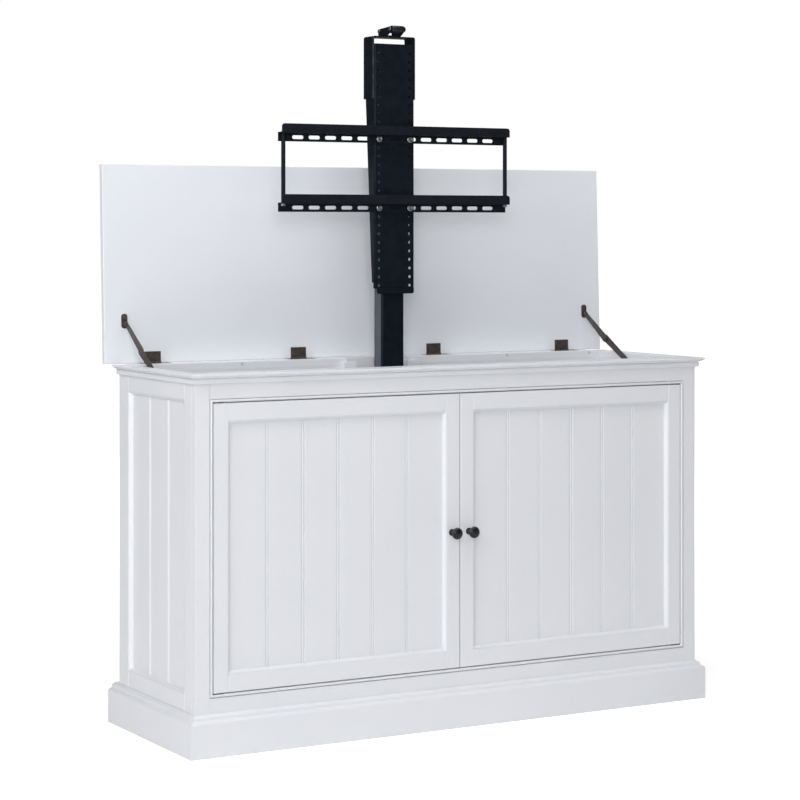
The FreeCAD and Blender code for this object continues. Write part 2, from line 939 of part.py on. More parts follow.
def knob_body():
    """Turned mushroom knob: rosette, neck, a flared underside, the rim and a slightly domed face."""
    body = Body("knob")
    profile = body.sketch("XY")
    rim = size.knob_radius
    rim_in = rim - size.knob_rim_ease
    rim_out = size.knob_rim_out + size.knob_rim_ease
    rosette = size.knob_rosette_thickness
    outline(profile, [
        (as_size(0), as_size(0)),
        (as_size(0), -size.knob_out),
        (size.knob_dome_radius, size.knob_dome_depth - size.knob_out),
        (rim_in, -rim_out),
        (rim, -size.knob_rim_out),
        (rim_in, size.knob_flare_depth - size.knob_rim_out),
        (size.knob_neck_radius, -size.knob_neck_out),
        (size.knob_neck_radius, -rosette),
        (size.knob_rosette_radius, -rosette),
        (size.knob_rosette_radius, as_size(0)),
    ])
    body.revolve(profile)
    return body.item


# ------------------------------------------------------------------ lid, hinges and stays

def on_lid(item):
    """Puts a piece drawn upright behind the hinge axis onto the open lid, which leans back."""
    return tilt(item, (as_size(0), hinge_axis, top), -size.lid_lean)


def build_lid():
    half = size.lid_width / 2
    notch = size.barrel_radius + size.knuckle_gap
    tools = []
    leaves = []
    for place_x in hinge_places():
        barrel = (place_x - size.barrel_length / 2, place_x + size.barrel_length / 2)
        tools.append(box(
            (barrel[0] - 1, barrel[1] + 1),
            (-notch, notch),
            (-notch, notch),
        ))
        tools.append(box(barrel, (as_size(-1), size.leaf_thickness), (as_size(0), notch + size.lid_leaf_length)))
        knuckle = round_bar(
            size.barrel_radius,
            size.knuckle_length,
            (place_x - size.knuckle_length / 2, as_size(0), as_size(0)),
            ALONG_X,
        )
        tongue = box(
            (place_x - size.knuckle_length / 2, place_x + size.knuckle_length / 2),
            (as_size(0), size.leaf_thickness),
            (size.barrel_radius / 2, notch),
        )
        leaf = box(barrel, (as_size(0), size.leaf_thickness), (notch, notch + size.lid_leaf_length))
        bore = round_bar(
            size.barrel_pin_radius + size.running_clearance,
            size.barrel_length,
            (barrel[0], as_size(0), as_size(0)),
            ALONG_X,
        )
        leaves.append(cut(join(knuckle, tongue, leaf), bore))
    slab = board("lid_board", (-half, half), (as_size(0), size.lid_thickness), (as_size(0), size.lid_length),
                 size.edge_ease)
    node("lid_panel", on_lid(cut(slab, *tools)))
    node("hinge_lid_leaves", on_lid(group(*leaves)))


def build_hinges():
    """The leaves let into the rim, each with its two outer knuckles, and the hinge pins."""
    leaves = []
    pins = []
    strip_back = back + size.rim_strip_depth
    radius = size.barrel_radius
    leaf_front = hinge_axis - radius - size.rim_leaf_depth + 1
    for place_x in hinge_places():
        half = size.barrel_length / 2
        plate = box(
            (place_x - size.rim_leaf_width / 2, place_x + size.rim_leaf_width / 2),
            (leaf_front, strip_back),
            (top - size.leaf_thickness, top),
        )
        barrel = round_bar(radius, size.barrel_length, (place_x - half, hinge_axis, top), ALONG_X)
        neck = box((place_x - half, place_x + half), (strip_back, hinge_axis), (top - size.leaf_thickness, top))
        gap_half = size.knuckle_length / 2 + size.knuckle_gap
        clear = radius + size.knuckle_gap
        window = box(
            (place_x - gap_half, place_x + gap_half),
            (hinge_axis - clear, hinge_axis + clear),
            (top - clear, top + clear),
        )
        bore = round_bar(size.barrel_pin_radius, size.barrel_length, (place_x - half, hinge_axis, top), ALONG_X)
        leaves.append(cut(join(plate, barrel, neck), window, bore))
        pins.append(round_bar(size.barrel_pin_radius, size.barrel_length, (place_x - half, hinge_axis, top), ALONG_X))
    node("hinge_rim_leaves", group(*leaves))
    node("hinge_pins", group(*pins))


def stay_arm(name, length, radii, hole_radius, thickness):
    """Flat tapered arm with round ends along +Y from its pivot, drilled at the pivot."""
    body = Body(name)
    face = body.sketch("YZ")
    near, far = radii
    outline(face, [
        (length, -far),
        (length, far, far, 1),
        (as_size(0), near),
        (as_size(0), -near, near, 1),
    ])
    circle(face, (as_size(0), as_size(0)), hole_radius)
    body.pad(face, thickness)
    return body.item


def build_stays():
    """A folding stay at each end of the lid: lid plate, two arms and a plate on the side's inner face.

    Layers run inwards from the side: foot plate, lower arm, upper arm. The elbow's rivet is part of
    the upper arm and ends at the face between the arms.
    """
    metal = size.stay_metal
    gap = size.stay_layer_gap
    foot_face = side_inner - size.stay_head_thickness * 2
    lower_outer = foot_face - gap
    lower_inner = lower_outer - metal
    upper_outer = lower_inner - gap
    upper_inner = upper_outer - metal
    lean = size.lid_lean
    pivot_y = hinge_axis + size.stay_pivot_up * sine(lean) - size.stay_pivot_out * cosine(lean)
    pivot_z = top + size.stay_pivot_up * cosine(lean) + size.stay_pivot_out * sine(lean)
    elbow_y = hinge_axis - size.stay_elbow_forward
    elbow_z = top + size.stay_elbow_up
    foot_y = hinge_axis - size.stay_foot_forward
    foot_z = top - size.stay_foot_down
    pin = size.stay_pin_radius
    hole = pin + size.running_clearance
    head = size.stay_head_radius

    upper_length = distance(elbow_y - pivot_y, elbow_z - pivot_z)
    upper_angle = direction(elbow_y - pivot_y, elbow_z - pivot_z)
    upper = stay_arm("stay_upper_blank", upper_length, (size.stay_narrow_radius, size.stay_wide_radius), hole, metal)
    tilt(upper, (upper_inner, pivot_y, pivot_z), upper_angle)
    rivet = round_bar(head, size.stay_head_thickness,
                      (upper_inner - size.stay_head_thickness, elbow_y, elbow_z), ALONG_X)
    upper_arm = node("stay_upper_arm_right", join(upper, rivet))
    node("stay_upper_arm_left", mirrored(upper_arm))

    lower_length = distance(elbow_y - foot_y, elbow_z - foot_z)
    lower_angle = direction(elbow_y - foot_y, elbow_z - foot_z)
    lower = stay_arm("stay_lower_arm_right", lower_length,
                     (size.stay_narrow_radius + 1, size.stay_wide_radius), hole, metal)
    tilt(lower, (lower_inner, foot_y, foot_z), lower_angle)
    node("stay_lower_arm_right", lower)
    node("stay_lower_arm_left", mirrored(lower))

    foot = Body("stay_foot")
    outline_sketch = foot.sketch("YZ", foot_face)
    reach = size.stay_plate_length / 2
    width = size.stay_plate_width / 2
    rounded_rectangle(outline_sketch, (foot_y - reach, foot_y + reach), (foot_z - width, foot_z + width), width * 0.9)
    foot.pad(outline_sketch, side_inner - foot_face)
    foot_pin = round_bar(pin, foot_face - upper_outer, (upper_outer, foot_y, foot_z), ALONG_X)
    foot_head = round_bar(head, size.stay_head_thickness,
                          (lower_inner - gap / 2 - size.stay_head_thickness, foot_y, foot_z), ALONG_X)
    node("stay_wall_plates", pair(join(foot.item, foot_pin, foot_head)))

    plate_middle = (upper_inner + lower_outer) / 2
    plate_centre_up = size.stay_pivot_up + size.stay_plate_above_pivot
    plate = Body("stay_lid_plate")
    plate_sketch = plate.sketch("XZ")
    rounded_rectangle(
        plate_sketch,
        (plate_middle - width, plate_middle + width),
        (plate_centre_up - reach, plate_centre_up + reach),
        width * 0.9,
    )
    plate.pad(plate_sketch, metal)
    ear_inner = upper_outer + gap / 2
    ear = Body("stay_lid_ear")
    ear_sketch = ear.sketch("YZ", ear_inner)
    ear_radius = size.stay_narrow_radius
    outline(ear_sketch, [
        (-metal, size.stay_pivot_up - ear_radius),
        (-metal, size.stay_pivot_up + ear_radius),
        (-size.stay_pivot_out, size.stay_pivot_up + ear_radius),
        (-size.stay_pivot_out, size.stay_pivot_up - ear_radius, ear_radius, 1),
    ])
    ear.pad(ear_sketch, metal)
    lid_pin = round_bar(pin, ear_inner - upper_inner + gap / 2,
                        (upper_inner - gap / 2, -size.stay_pivot_out, size.stay_pivot_up), ALONG_X)
    lid_head = round_bar(head, size.stay_head_thickness,
                         (upper_inner - gap / 2 - size.stay_head_thickness, -size.stay_pivot_out,
                          size.stay_pivot_up), ALONG_X)
    lid_plate = join(plate.item, ear.item, lid_pin, lid_head)
    node("stay_lid_plates", on_lid(pair(lid_plate)))


# ------------------------------------------------------------------ lift: fixed parts

def build_fixed_lift():
    """Base plate, outer channel, its brackets on the uprights, screw bearing, motor and control box."""
    metal = size.lift_metal
    half = size.channel_half_width

    base = Body("lift_base")
    plan = base.sketch("XY", floor_top)
    rounded_rectangle(
        plan,
        (-size.base_plate_half_width, size.base_plate_half_width),
        (channel_front - size.base_plate_reach, back_inner - size.base_plate_back_gap),
        size.base_plate_corner,
    )
    base.pad(plan, size.base_plate_thickness)
    node("lift_base_plate", base.item)

    channel = Body("fixed_channel")
    section = channel.sketch("XY", base_top)
    slot = size.channel_slot_half
    bend = size.sheet_bend
    outline(section, [
        (bend - half, channel_front),
        (half - bend, channel_front),
        (half, channel_front + bend, bend, 1),
        (half, channel_back),
        (slot, channel_back),
        (slot, channel_back - metal),
        (half - metal, channel_back - metal),
        (half - metal, channel_front + bend),
        (half - bend, channel_front + metal, bend - metal, -1),
        (bend - half, channel_front + metal),
        (metal - half, channel_front + bend, bend - metal, -1),
        (metal - half, channel_back - metal),
        (-slot, channel_back - metal),
        (-slot, channel_back),
        (-half, channel_back),
        (-half, channel_front + bend),
        (bend - half, channel_front, bend, 1),
    ][1:])
    channel.pad(section, channel_top - base_top)
    node("fixed_channel", channel.item)

    bracket = Body("wall_bracket")
    section = bracket.sketch("XY", channel_top - size.wall_bracket_drop)
    bracket_metal = size.wall_bracket_metal
    leg_front = channel_front + size.channel_depth / 3
    outline(section, [
        (half, leg_front),
        (half + bracket_metal, leg_front),
        (half + bracket_metal, cleat_front - bracket_metal),
        (size.cleat_inner + size.cleat_width, cleat_front - bracket_metal),
        (size.cleat_inner + size.cleat_width, cleat_front),
        (half, cleat_front),
    ])
    bracket.pad(section, size.wall_bracket_height)

    place_screw = (as_size(0), screw_axis, base_top)
    bearing_half = size.screw_bearing_half
    bearing = cut(
        box(
            (-bearing_half, bearing_half),
            (screw_axis - bearing_half, screw_axis + bearing_half),
            (base_top, base_top + size.screw_bearing_height),
        ),
        round_bar(size.screw_radius + size.running_clearance, size.screw_bearing_height, place_screw),
    )
    node("screw_bearing", bearing)

    motor_level = column_bottom + size.nut_height + size.motor_above_nut
    plate_top = motor_level + size.motor_plate_thickness
    motor_plate = cut(
        box((-size.cleat_inner, size.cleat_inner), (cleat_front, back_inner), (motor_level, plate_top)),
        round_bar(size.screw_radius + 1, size.motor_plate_thickness * 2,
                  (as_size(0), screw_axis, motor_level - TOOL_EXCESS)),
    )
    node("lift_brackets", group(pair(bracket.item), motor_plate))

    gearbox = Body("gearbox")
    plan = gearbox.sketch("XY", plate_top)
    radius = size.motor_radius
    wide = radius + size.gearbox_overhang
    rounded_rectangle(plan, (-wide, wide), (screw_axis - radius, screw_axis + radius), size.gearbox_corner)
    circle(plan, (as_size(0), screw_axis), size.screw_radius + size.running_clearance)
    gearbox.pad(plan, size.gearbox_height)
    can = round_bar(radius - 1, size.motor_height - size.gearbox_height,
                    (as_size(0), screw_axis, plate_top + size.gearbox_height))
    node("gear_motor", join(gearbox.item, can))

    control = Body("control_box")
    face = control.sketch("XZ", -back_inner)
    rounded_rectangle(
        face,
        (size.control_box_left, size.control_box_left + size.control_box_width),
        (size.control_box_level, size.control_box_level + size.control_box_height),
        size.control_box_corner,
    )
    control.pad(face, size.control_box_depth)
    node("control_box", control.item)

    screw_top = plate_top + size.gearbox_height - size.screw_end_gap
    node("lead_screw", round_bar(size.screw_radius, screw_top - base_top, place_screw))


# ------------------------------------------------------------------ lift: moving column

def tube(name, half, span_y, bottom_z, length):
    """Square tube with rounded corners and the lift's wall thickness."""
    body = Body(name)
    section = body.sketch("XY", bottom_z)
    wall = size.lift_metal
    bend = size.sheet_bend
    rounded_rectangle(section, (-half, half), span_y, bend)
    rounded_rectangle(
        section,
        (wall - half, half - wall),
        (span_y[0] + wall, span_y[1] - wall),
        bend - wall,
    )
    body.pad(section, length)
    return body.item


def build_column():
    """The middle tube, its drive nut on the lead screw, and the glide pads of both its ends."""
    half = column_half
    low = column_bottom
    node("column_tube", tube("column_tube", half, (column_front, column_back), low, size.column_length))

    arm_half = size.nut_arm_half
    level = (low, low + size.nut_height)
    nut = join(
        box((-arm_half, arm_half), (column_back, screw_axis), level),
        round_bar(size.nut_radius, size.nut_height, (as_size(0), screw_axis, low)),
    )
    bore = round_bar(size.screw_radius + size.running_clearance, size.nut_height,
                     (as_size(0), screw_axis, low))
    node("drive_nut", cut(nut, bore))

    metal = size.lift_metal
    gap = size.glide_gap
    outer_half = size.outer_glide_width / 2
    inner_pad_half = size.inner_glide_width / 2
    outer_pad = box(
        (half, size.channel_half_width - metal - gap),
        (lift_centre - outer_half, lift_centre + outer_half),
        (low, low + size.glide_height),
    )
    inner_pad = box(
        (inner_half + gap, half - metal),
        (lift_centre - inner_pad_half, lift_centre + inner_pad_half),
        (column_top - size.glide_height, column_top),
    )
    node("glide_pads", pair(group(outer_pad, inner_pad)))


# ------------------------------------------------------------------ lift: carriage

def build_carriage():
    """Inner tube, the drilled front plate with its tapered flanges, and the block between them."""
    metal = size.lift_metal
    plate_front = carriage_front
    plate_back = plate_front + metal
    half = size.carriage_half_width
    low = carriage_bottom
    high = carriage_top
    bend = size.sheet_bend
    flange_back = plate_front + size.flange_depth

    span_y = (inner_front, inner_back)
    node("inner_tube", tube("inner_tube", inner_half, span_y, inner_bottom, size.inner_length))
    node("carriage_spacer", box(
        (-inner_half, inner_half),
        (plate_back, inner_front),
        (spacer_low, inner_top),
    ))

    body = Body("carriage_plate")
    section = body.sketch("XY", low)
    outline(section, [
        (half - bend, plate_front),
        (half, plate_front + bend, bend, 1),
        (half, flange_back),
        (half - metal, flange_back),
        (half - metal, plate_front + bend),
        (half - bend, plate_back, bend - metal, -1),
        (bend - half, plate_back),
        (metal - half, plate_front + bend, bend - metal, -1),
        (metal - half, flange_back),
        (-half, flange_back),
        (-half, plate_front + bend),
        (bend - half, plate_front, bend, 1),
    ])
    body.pad(section, size.carriage_height)
    taper = body.sketch("YZ")
    taper_foot = low + size.flange_foot_height
    outline(taper, [
        (flange_back, taper_foot + size.flange_taper_height),
        (plate_front + size.flange_foot_depth, taper_foot),
        (plate_front + bend + 1, taper_foot),
        (plate_front + bend + 1, low - TOOL_EXCESS),
        (flange_back + TOOL_EXCESS, low - TOOL_EXCESS),
        (flange_back + TOOL_EXCESS, taper_foot + size.flange_taper_height),
    ])
    body.pocket(taper, both_ways=True)
    holes = body.sketch("XZ")
    for side in (-1, 1):
        drilled(holes, (size.hole_offset * side, first_hole), size.hole_radius)
    body.repeat(body.pocket(holes), "Z", size.hole_pitch, size.hole_rows)
    fixings = body.sketch("XZ")
    fixing_low = first_hole + size.hole_pitch * size.fixing_row
    for side in (-1, 1):
        for level in (fixing_low, fixing_low + size.hole_pitch * size.fixing_rows_apart):
            circle(fixings, (size.hole_offset * side, level), size.hole_radius)
    body.pocket(fixings)
    foot = body.sketch("YZ")
    lip_front = plate_front - size.lip_reach
    outline(foot, [
        (plate_back, low),
        (lip_front, low),
        (lip_front, low - size.lip_drop),
        (lip_front + metal, low - size.lip_drop),
        (lip_front + metal, low - metal),
        (plate_back, low - metal),
    ])
    body.pad(foot, (half - bend) * 2, symmetric=True)
    lip_low = (low - size.lip_drop).value
    lip_end = (half - bend).value
    body.ease("Fillet", bend, lambda m: abs(m.z - lip_low) < 0.01 and abs(abs(m.x) - lip_end) < 0.01)
    node("carriage_plate", body.item)

    head = Body("head_bracket")
    head_metal = size.head_metal
    head_low = high - size.head_below
    head_high = high + size.head_above
    head_half = half + head_metal
    head_back = plate_front + size.head_set_back + size.head_depth
    outer_bend = size.head_metal * 2
    arch = head.sketch("XZ", -head_back)
    outline(arch, [
        (-half, head_low),
        (-half, head_high - outer_bend),
        (head_metal - half, head_high - head_metal, head_metal, -1),
        (half - head_metal, head_high - head_metal),
        (half, head_high - outer_bend, head_metal, -1),
        (half, head_low),
        (head_half, head_low),
        (head_half, head_high - outer_bend),
        (head_half - outer_bend, head_high, outer_bend, 1),
        (outer_bend - head_half, head_high),
        (-head_half, head_high - outer_bend, outer_bend, 1),
        (-head_half, head_low),
    ])
    head.pad(arch, size.head_depth)
    node("head_bracket", head.item)

    ear_half = size.roller_length / 2 + size.roller_side_gap + head_metal
    base_front = plate_front + size.ear_base_front
    base_back = base_front + size.ear_base_depth
    roller_y = plate_front - size.roller_forward
    roller_z = head_high + size.roller_above_head
    bracket = Body("roller_bracket_blank")
    side_view = bracket.sketch("YZ")
    ear = size.ear_radius
    outline(side_view, [
        (base_back, head_high),
        (base_back, head_high + size.ear_height),
        (roller_y, roller_z + ear),
        (roller_y, roller_z - ear, ear, 1),
        (base_front, head_high),
    ])
    bracket.pad(side_view, ear_half * 2, symmetric=True)
    window = box(
        (head_metal - ear_half, ear_half - head_metal),
        (roller_y - ear - TOOL_EXCESS, base_back + TOOL_EXCESS),
        (head_high + head_metal, roller_z + size.ear_height),
    )
    under = box(
        (head_metal - ear_half, ear_half - head_metal),
        (roller_y - ear - TOOL_EXCESS, base_front),
        (head_high - TOOL_EXCESS, head_high + head_metal),
    )
    axle = size.roller_axle_radius
    bolt_y = base_back - size.bracket_bolt_from_back
    bolt_z = head_high + size.ear_height - size.bracket_bolt_from_back - 1
    holes = []
    for place_y, place_z in ((roller_y, roller_z), (bolt_y, bolt_z)):
        holes.append(round_bar(axle, ear_half * 2 + 2, (-ear_half - 1, place_y, place_z), ALONG_X))
    node("roller_bracket", cut(bracket.item, window, under, *holes))
    head_thick = size.axle_head_thickness
    node("roller_axle", group(*[
        join(
            round_bar(axle, ear_half * 2, (-ear_half, place_y, place_z), ALONG_X),
            round_bar(size.axle_head_radius, head_thick, (ear_half, place_y, place_z), ALONG_X),
            round_bar(size.axle_head_radius, head_thick, (-ear_half - head_thick, place_y, place_z), ALONG_X),
        )
        for place_y, place_z in ((roller_y, roller_z), (bolt_y, bolt_z))
    ]))
    roller = Body("lid_roller")
    section = roller.sketch("YZ")
    circle(section, (roller_y, roller_z), size.roller_radius)
    circle(section, (roller_y, roller_z), axle + size.running_clearance)
    roller.pad(section, size.roller_length, symmetric=True)
    node("lid_roller", roller.item)


def build_rail(label, shelf_level):
    """Z-shaped television rail: slotted web, shelf towards the front, and an upturned lip."""
    metal = size.lift_metal
    web_back = carriage_front
    lip_front = web_back - metal - size.rail_shelf_reach
    body = Body(label)
    section = body.sketch("YZ")
    outline(section, [
        (web_back, shelf_level - size.rail_web_down),
        (web_back, shelf_level + metal),
        (lip_front + metal, shelf_level + metal),
        (lip_front + metal, shelf_level + size.rail_lip_height),
        (lip_front, shelf_level + size.rail_lip_height),
        (lip_front, shelf_level),
        (web_back - metal, shelf_level),
        (web_back - metal, shelf_level - size.rail_web_down),
    ])
    body.pad(section, size.rail_half_length * 2, symmetric=True)
    slots = body.sketch("XZ")
    first = -size.slot_pitch * (size.slot_count - 1) / 2
    straight = size.slot_length / 2 - size.slot_radius
    level = shelf_level - size.slot_below_shelf
    outline(slots, [
        (first + straight, level - size.slot_radius),
        (first + straight, level + size.slot_radius, size.slot_radius, 1),
        (first - straight, level + size.slot_radius),
        (first - straight, level - size.slot_radius, size.slot_radius, 1),
    ])
    body.repeat(body.pocket(slots), "X", size.slot_pitch, size.slot_count)
    lip_top = (shelf_level + size.rail_lip_height).value
    end = size.rail_half_length.value
    body.ease("Fillet", size.rail_lip_corner, lambda m: abs(m.z - lip_top) < 0.01 and abs(abs(m.x) - end) < 0.01)
    node(label, body.item)


def flange_bolt(place_x, level):
    """Flanged hexagon bolt through rail and plate, with its nut behind the plate."""
    rail_front = carriage_front - size.lift_metal
    plate_back = carriage_front + size.lift_metal
    flange = size.flange_bolt_flange
    head = size.flange_bolt_head
    return join(
        round_bar(size.flange_bolt_radius, flange, (place_x, rail_front - flange, level), ALONG_Y),
        hexagon_bar(size.flange_bolt_hex, head, (place_x, rail_front - head, level), ALONG_Y),
        round_bar(size.rail_bolt_radius, plate_back - rail_front + 2, (place_x, rail_front - 1, level), ALONG_Y),
        hexagon_bar(size.flange_bolt_hex, head / 2, (place_x, plate_back, level), ALONG_Y),
    )


def build_rails():
    rail_holes = (size.upper_rail_hole, size.lower_rail_hole)
    levels = [first_hole + size.hole_pitch * number + size.slot_below_shelf for number in rail_holes]
    for label, level in zip(("upper_rail", "lower_rail"), levels):
        build_rail(label, level)
    bolts = [flange_bolt(size.hole_offset, level - size.slot_below_shelf) for level in levels]
    node("rail_bolts", pair(group(*bolts)))

    metal = size.lift_metal
    rod_y = carriage_front - metal - size.rod_back
    rod_low = levels[1] + metal
    rod = round_bar(size.rod_radius, levels[0] - rod_low, (size.rod_offset, rod_y, rod_low))
    node("side_rods", pair(rod))
    heads = group(
        hexagon_bar(size.flange_bolt_hex, size.flange_bolt_head,
                    (size.rod_offset, rod_y, levels[1] - size.flange_bolt_head)),
        hexagon_bar(size.flange_bolt_hex, size.flange_bolt_head / 2,
                    (size.rod_offset, rod_y, levels[0] + metal)),
    )
    node("rod_bolts", pair(heads))


# ------------------------------------------------------------------ build, check and export

def main():
    build_plinth()
    build_cornice()
    build_sides()
    build_face_frame()
    build_inside()
    build_top_frame()
    build_doors()
    build_lid()
    build_hinges()
    build_stays()
    build_fixed_lift()
    build_column()
    build_carriage()
    build_rails()
    document.recompute()

    for item in document.Objects:
        if "Invalid" in item.State or "Error" in item.State:
            raise RuntimeError(f"{item.Name} ({item.Label}) failed: {item.State}")
    os.makedirs("parts", exist_ok=True)
    for item in nodes:
        shape = item.Shape
        if shape.isNull() or not shape.isValid() or not shape.Solids:
            raise RuntimeError(f"{item.Label} has no valid solid")
        shape.exportStep(f"parts/{item.Label}.step")


main()
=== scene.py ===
import json
import math
import bpy
import bmesh
from mathutils import Matrix, Vector


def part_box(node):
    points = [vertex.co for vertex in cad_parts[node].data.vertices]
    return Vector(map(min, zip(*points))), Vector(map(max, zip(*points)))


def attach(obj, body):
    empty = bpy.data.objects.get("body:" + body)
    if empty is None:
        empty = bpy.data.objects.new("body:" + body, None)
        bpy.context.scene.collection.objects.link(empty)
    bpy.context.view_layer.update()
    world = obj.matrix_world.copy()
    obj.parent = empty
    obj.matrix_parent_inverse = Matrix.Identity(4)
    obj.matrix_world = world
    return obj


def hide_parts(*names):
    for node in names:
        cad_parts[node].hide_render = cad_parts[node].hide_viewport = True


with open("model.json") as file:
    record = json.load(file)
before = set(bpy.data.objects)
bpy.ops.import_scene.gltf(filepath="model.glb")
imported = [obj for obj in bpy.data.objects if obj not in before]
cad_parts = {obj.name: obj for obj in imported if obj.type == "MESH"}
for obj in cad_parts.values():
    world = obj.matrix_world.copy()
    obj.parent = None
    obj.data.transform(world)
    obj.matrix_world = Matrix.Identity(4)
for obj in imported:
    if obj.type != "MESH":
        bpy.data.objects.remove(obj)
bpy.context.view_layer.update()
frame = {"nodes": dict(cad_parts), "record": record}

nodes = frame["nodes"]

# The case, in millimetres and in the frame's axes: +X to the right, +Y to the back, +Z up.
CASE_FRONT = -230
CASE_SIDE = 725
CASE_TOP = 900
PANEL_THICKNESS = 10
SIDES = ((-1, "left"), (1, "right"))
CORNERS = ((-1, -1), (1, -1), (1, 1), (-1, 1))


def mm(*values):
    """A point given in millimetres, as Blender's metres."""
    return Vector([value / 1000 for value in values])


def around(count):
    """Each step round a closed ring, with the step that follows it."""
    return [(step, (step + 1) % count) for step in range(count)]


# ------------------------------------------------------------------ materials

# A Mix node repeats its sockets for each kind of value: these are its factor, two colours and result.
MIX_FACTOR, MIX_FIRST, MIX_SECOND, MIX_RESULT = 0, 6, 7, 2


def add_node(tree, kind, sockets=None, **settings):
    """Adds a node; each named or numbered socket takes a value, or a link from another node's output."""
    node = tree.nodes.new(kind)
    for name, value in settings.items():
        setattr(node, name, value)
    for key, value in (sockets or {}).items():
        if isinstance(value, bpy.types.NodeSocket):
            tree.links.new(value, node.inputs[key])
        else:
            node.inputs[key].default_value = value
    return node


class Finish:
    """A procedural material: a Principled shader and short ways to feed its sockets."""

    def __init__(self, name, metallic=0.0, specular=0.5, coat=0.0, coat_roughness=0.1):
        self.material = bpy.data.materials.new(name)
        self.material.use_nodes = True
        self.tree = self.material.node_tree
        self.tree.nodes.clear()
        self.shader = self.add("ShaderNodeBsdfPrincipled", {
            "Metallic": metallic, "Specular IOR Level": specular,
            "Coat Weight": coat, "Coat Roughness": coat_roughness,
        })
        self.add("ShaderNodeOutputMaterial", {0: self.shader.outputs[0]})
        self.place = self.add("ShaderNodeTexCoord").outputs["Object"]
        self.normal = None

    def add(self, kind, sockets=None, **settings):
        return add_node(self.tree, kind, sockets, **settings)

    def noise(self, scale, detail, roughness, stretch=(1, 1, 1), distortion=0.0):
        mapping = self.add("ShaderNodeMapping", {"Vector": self.place, "Scale": stretch})
        return self.add("ShaderNodeTexNoise", {
            "Vector": mapping.outputs[0], "Scale": scale, "Detail": detail,
            "Roughness": roughness, "Distortion": distortion,
        }).outputs["Fac"]

    def cells(self, scale):
        return self.add("ShaderNodeTexVoronoi", {"Vector": self.place, "Scale": scale}).outputs["Distance"]

    def ramp(self, value, *stops):
        """A colour ramp; its stops are (place, colour or grey)."""
        ramp = self.add("ShaderNodeValToRGB", {0: value})
        elements = ramp.color_ramp.elements
        while len(elements) < len(stops):
            elements.new(0.5)
        for element, (place, colour) in zip(elements, stops):
            element.position = place
            grey = isinstance(colour, (int, float))
            element.color = (colour, colour, colour, 1) if grey else (*colour, 1)
        return ramp.outputs[0]

    def maths(self, operation, first, second=None):
        sockets = {0: first} if second is None else {0: first, 1: second}
        return self.add("ShaderNodeMath", sockets, operation=operation).outputs[0]

    def from_line(self, axis, value):
        """How far a point lies from a value on one axis, in metres."""
        split = self.add("ShaderNodeSeparateXYZ", {0: self.place})
        return self.maths("ABSOLUTE", self.maths("SUBTRACT", split.outputs[axis], value))

    def mix(self, share, first, second, kind="MIX"):
        """Mixes two colours; the second is a link or a plain colour."""
        if isinstance(second, tuple):
            second = (*second, 1)
        sockets = {MIX_FACTOR: share, MIX_FIRST: first, MIX_SECOND: second}
        return self.add("ShaderNodeMix", sockets, data_type="RGBA", blend_type=kind).outputs[MIX_RESULT]

    def multiply(self, first, second):
        return self.mix(1.0, first, second, "MULTIPLY")

    def colour(self, value):
        self.tree.links.new(value, self.shader.inputs["Base Color"])

    def roughness(self, value):
        self.tree.links.new(value, self.shader.inputs["Roughness"])

    def bump(self, height, depth, strength):
        """Adds relief of that depth, in metres, over what is there already."""
        sockets = {"Height": height, "Distance": depth, "Strength": strength}
        if self.normal is not None:
            sockets["Normal"] = self.normal
        self.normal = self.add("ShaderNodeBump", sockets).outputs[0]
        self.tree.links.new(self.normal, self.shader.inputs["Normal"])


def painted_wood(name, light, dark, grain):
    """Satin lacquer on sanded board: faint clouds, a sprayed texture and wood grain, stretched by grain."""
    paint = Finish(name, specular=0.45)
    clouds = paint.ramp(paint.noise(2.6, 3, 0.55), (0.36, dark), (0.64, light))
    specks = paint.ramp(paint.noise(420, 1.5, 0.5), (0.30, 0.975), (0.52, 1.0))
    paint.colour(paint.multiply(clouds, specks))
    paint.roughness(paint.ramp(paint.noise(14, 4, 0.6), (0.30, 0.36), (0.70, 0.46)))
    paint.bump(paint.noise(38, 4, 0.6, grain), depth=0.00005, strength=0.45)
    paint.bump(paint.noise(820, 2, 0.5), depth=0.00004, strength=0.55)
    return paint.material


# The powder coat's tones, how far its painted highlight reaches from a fold, and how far inside a tube's
# side its wear starts, in metres.
COAT_DARK = (0.0038, 0.0064, 0.0108)
COAT_LIGHT = (0.0062, 0.0094, 0.0142)
COAT_RUBBED = (0.060, 0.056, 0.054)
# A painted highlight: the lighter grey that the folds' edges show where they catch light.
FOLD_PAINTED_HIGHLIGHT = (0.085, 0.088, 0.095)
TRACK_BARE = (0.35, 0.39, 0.46)
FOLD_REACH = 0.0022
TRACK_EDGE = 0.0012


def powder_coat(name, dark=COAT_DARK, light=COAT_LIGHT, wear_and_highlight=None):
    """Fine textured black powder coat with rub marks; its last argument gives a mask and the tone that it
    shows, which is bare wear on the tubes and a painted highlight along the folds.
    """
    coat = Finish(name, specular=0.11)
    base = coat.ramp(coat.noise(36, 3, 0.55), (0.35, dark), (0.66, light))
    grain = coat.ramp(coat.noise(1500, 2, 0.6), (0.35, 0.82), (0.62, 1.25))
    tone = coat.multiply(base, grain)
    rubs = coat.ramp(coat.noise(46, 6, 0.72, (1.0, 1.0, 2.3), 0.4), (0.655, 0.0), (0.74, 0.34))
    tone = coat.mix(rubs, tone, COAT_RUBBED)
    if wear_and_highlight:
        mask, wear_and_highlight_tone = wear_and_highlight(coat)
        tone = coat.mix(mask, tone, wear_and_highlight_tone)
    coat.colour(tone)
    coat.roughness(coat.ramp(coat.noise(90, 4, 0.6), (0.3, 0.42), (0.7, 0.56)))
    coat.bump(coat.noise(1500, 2, 0.6), depth=0.00012, strength=0.5)
    return coat.material


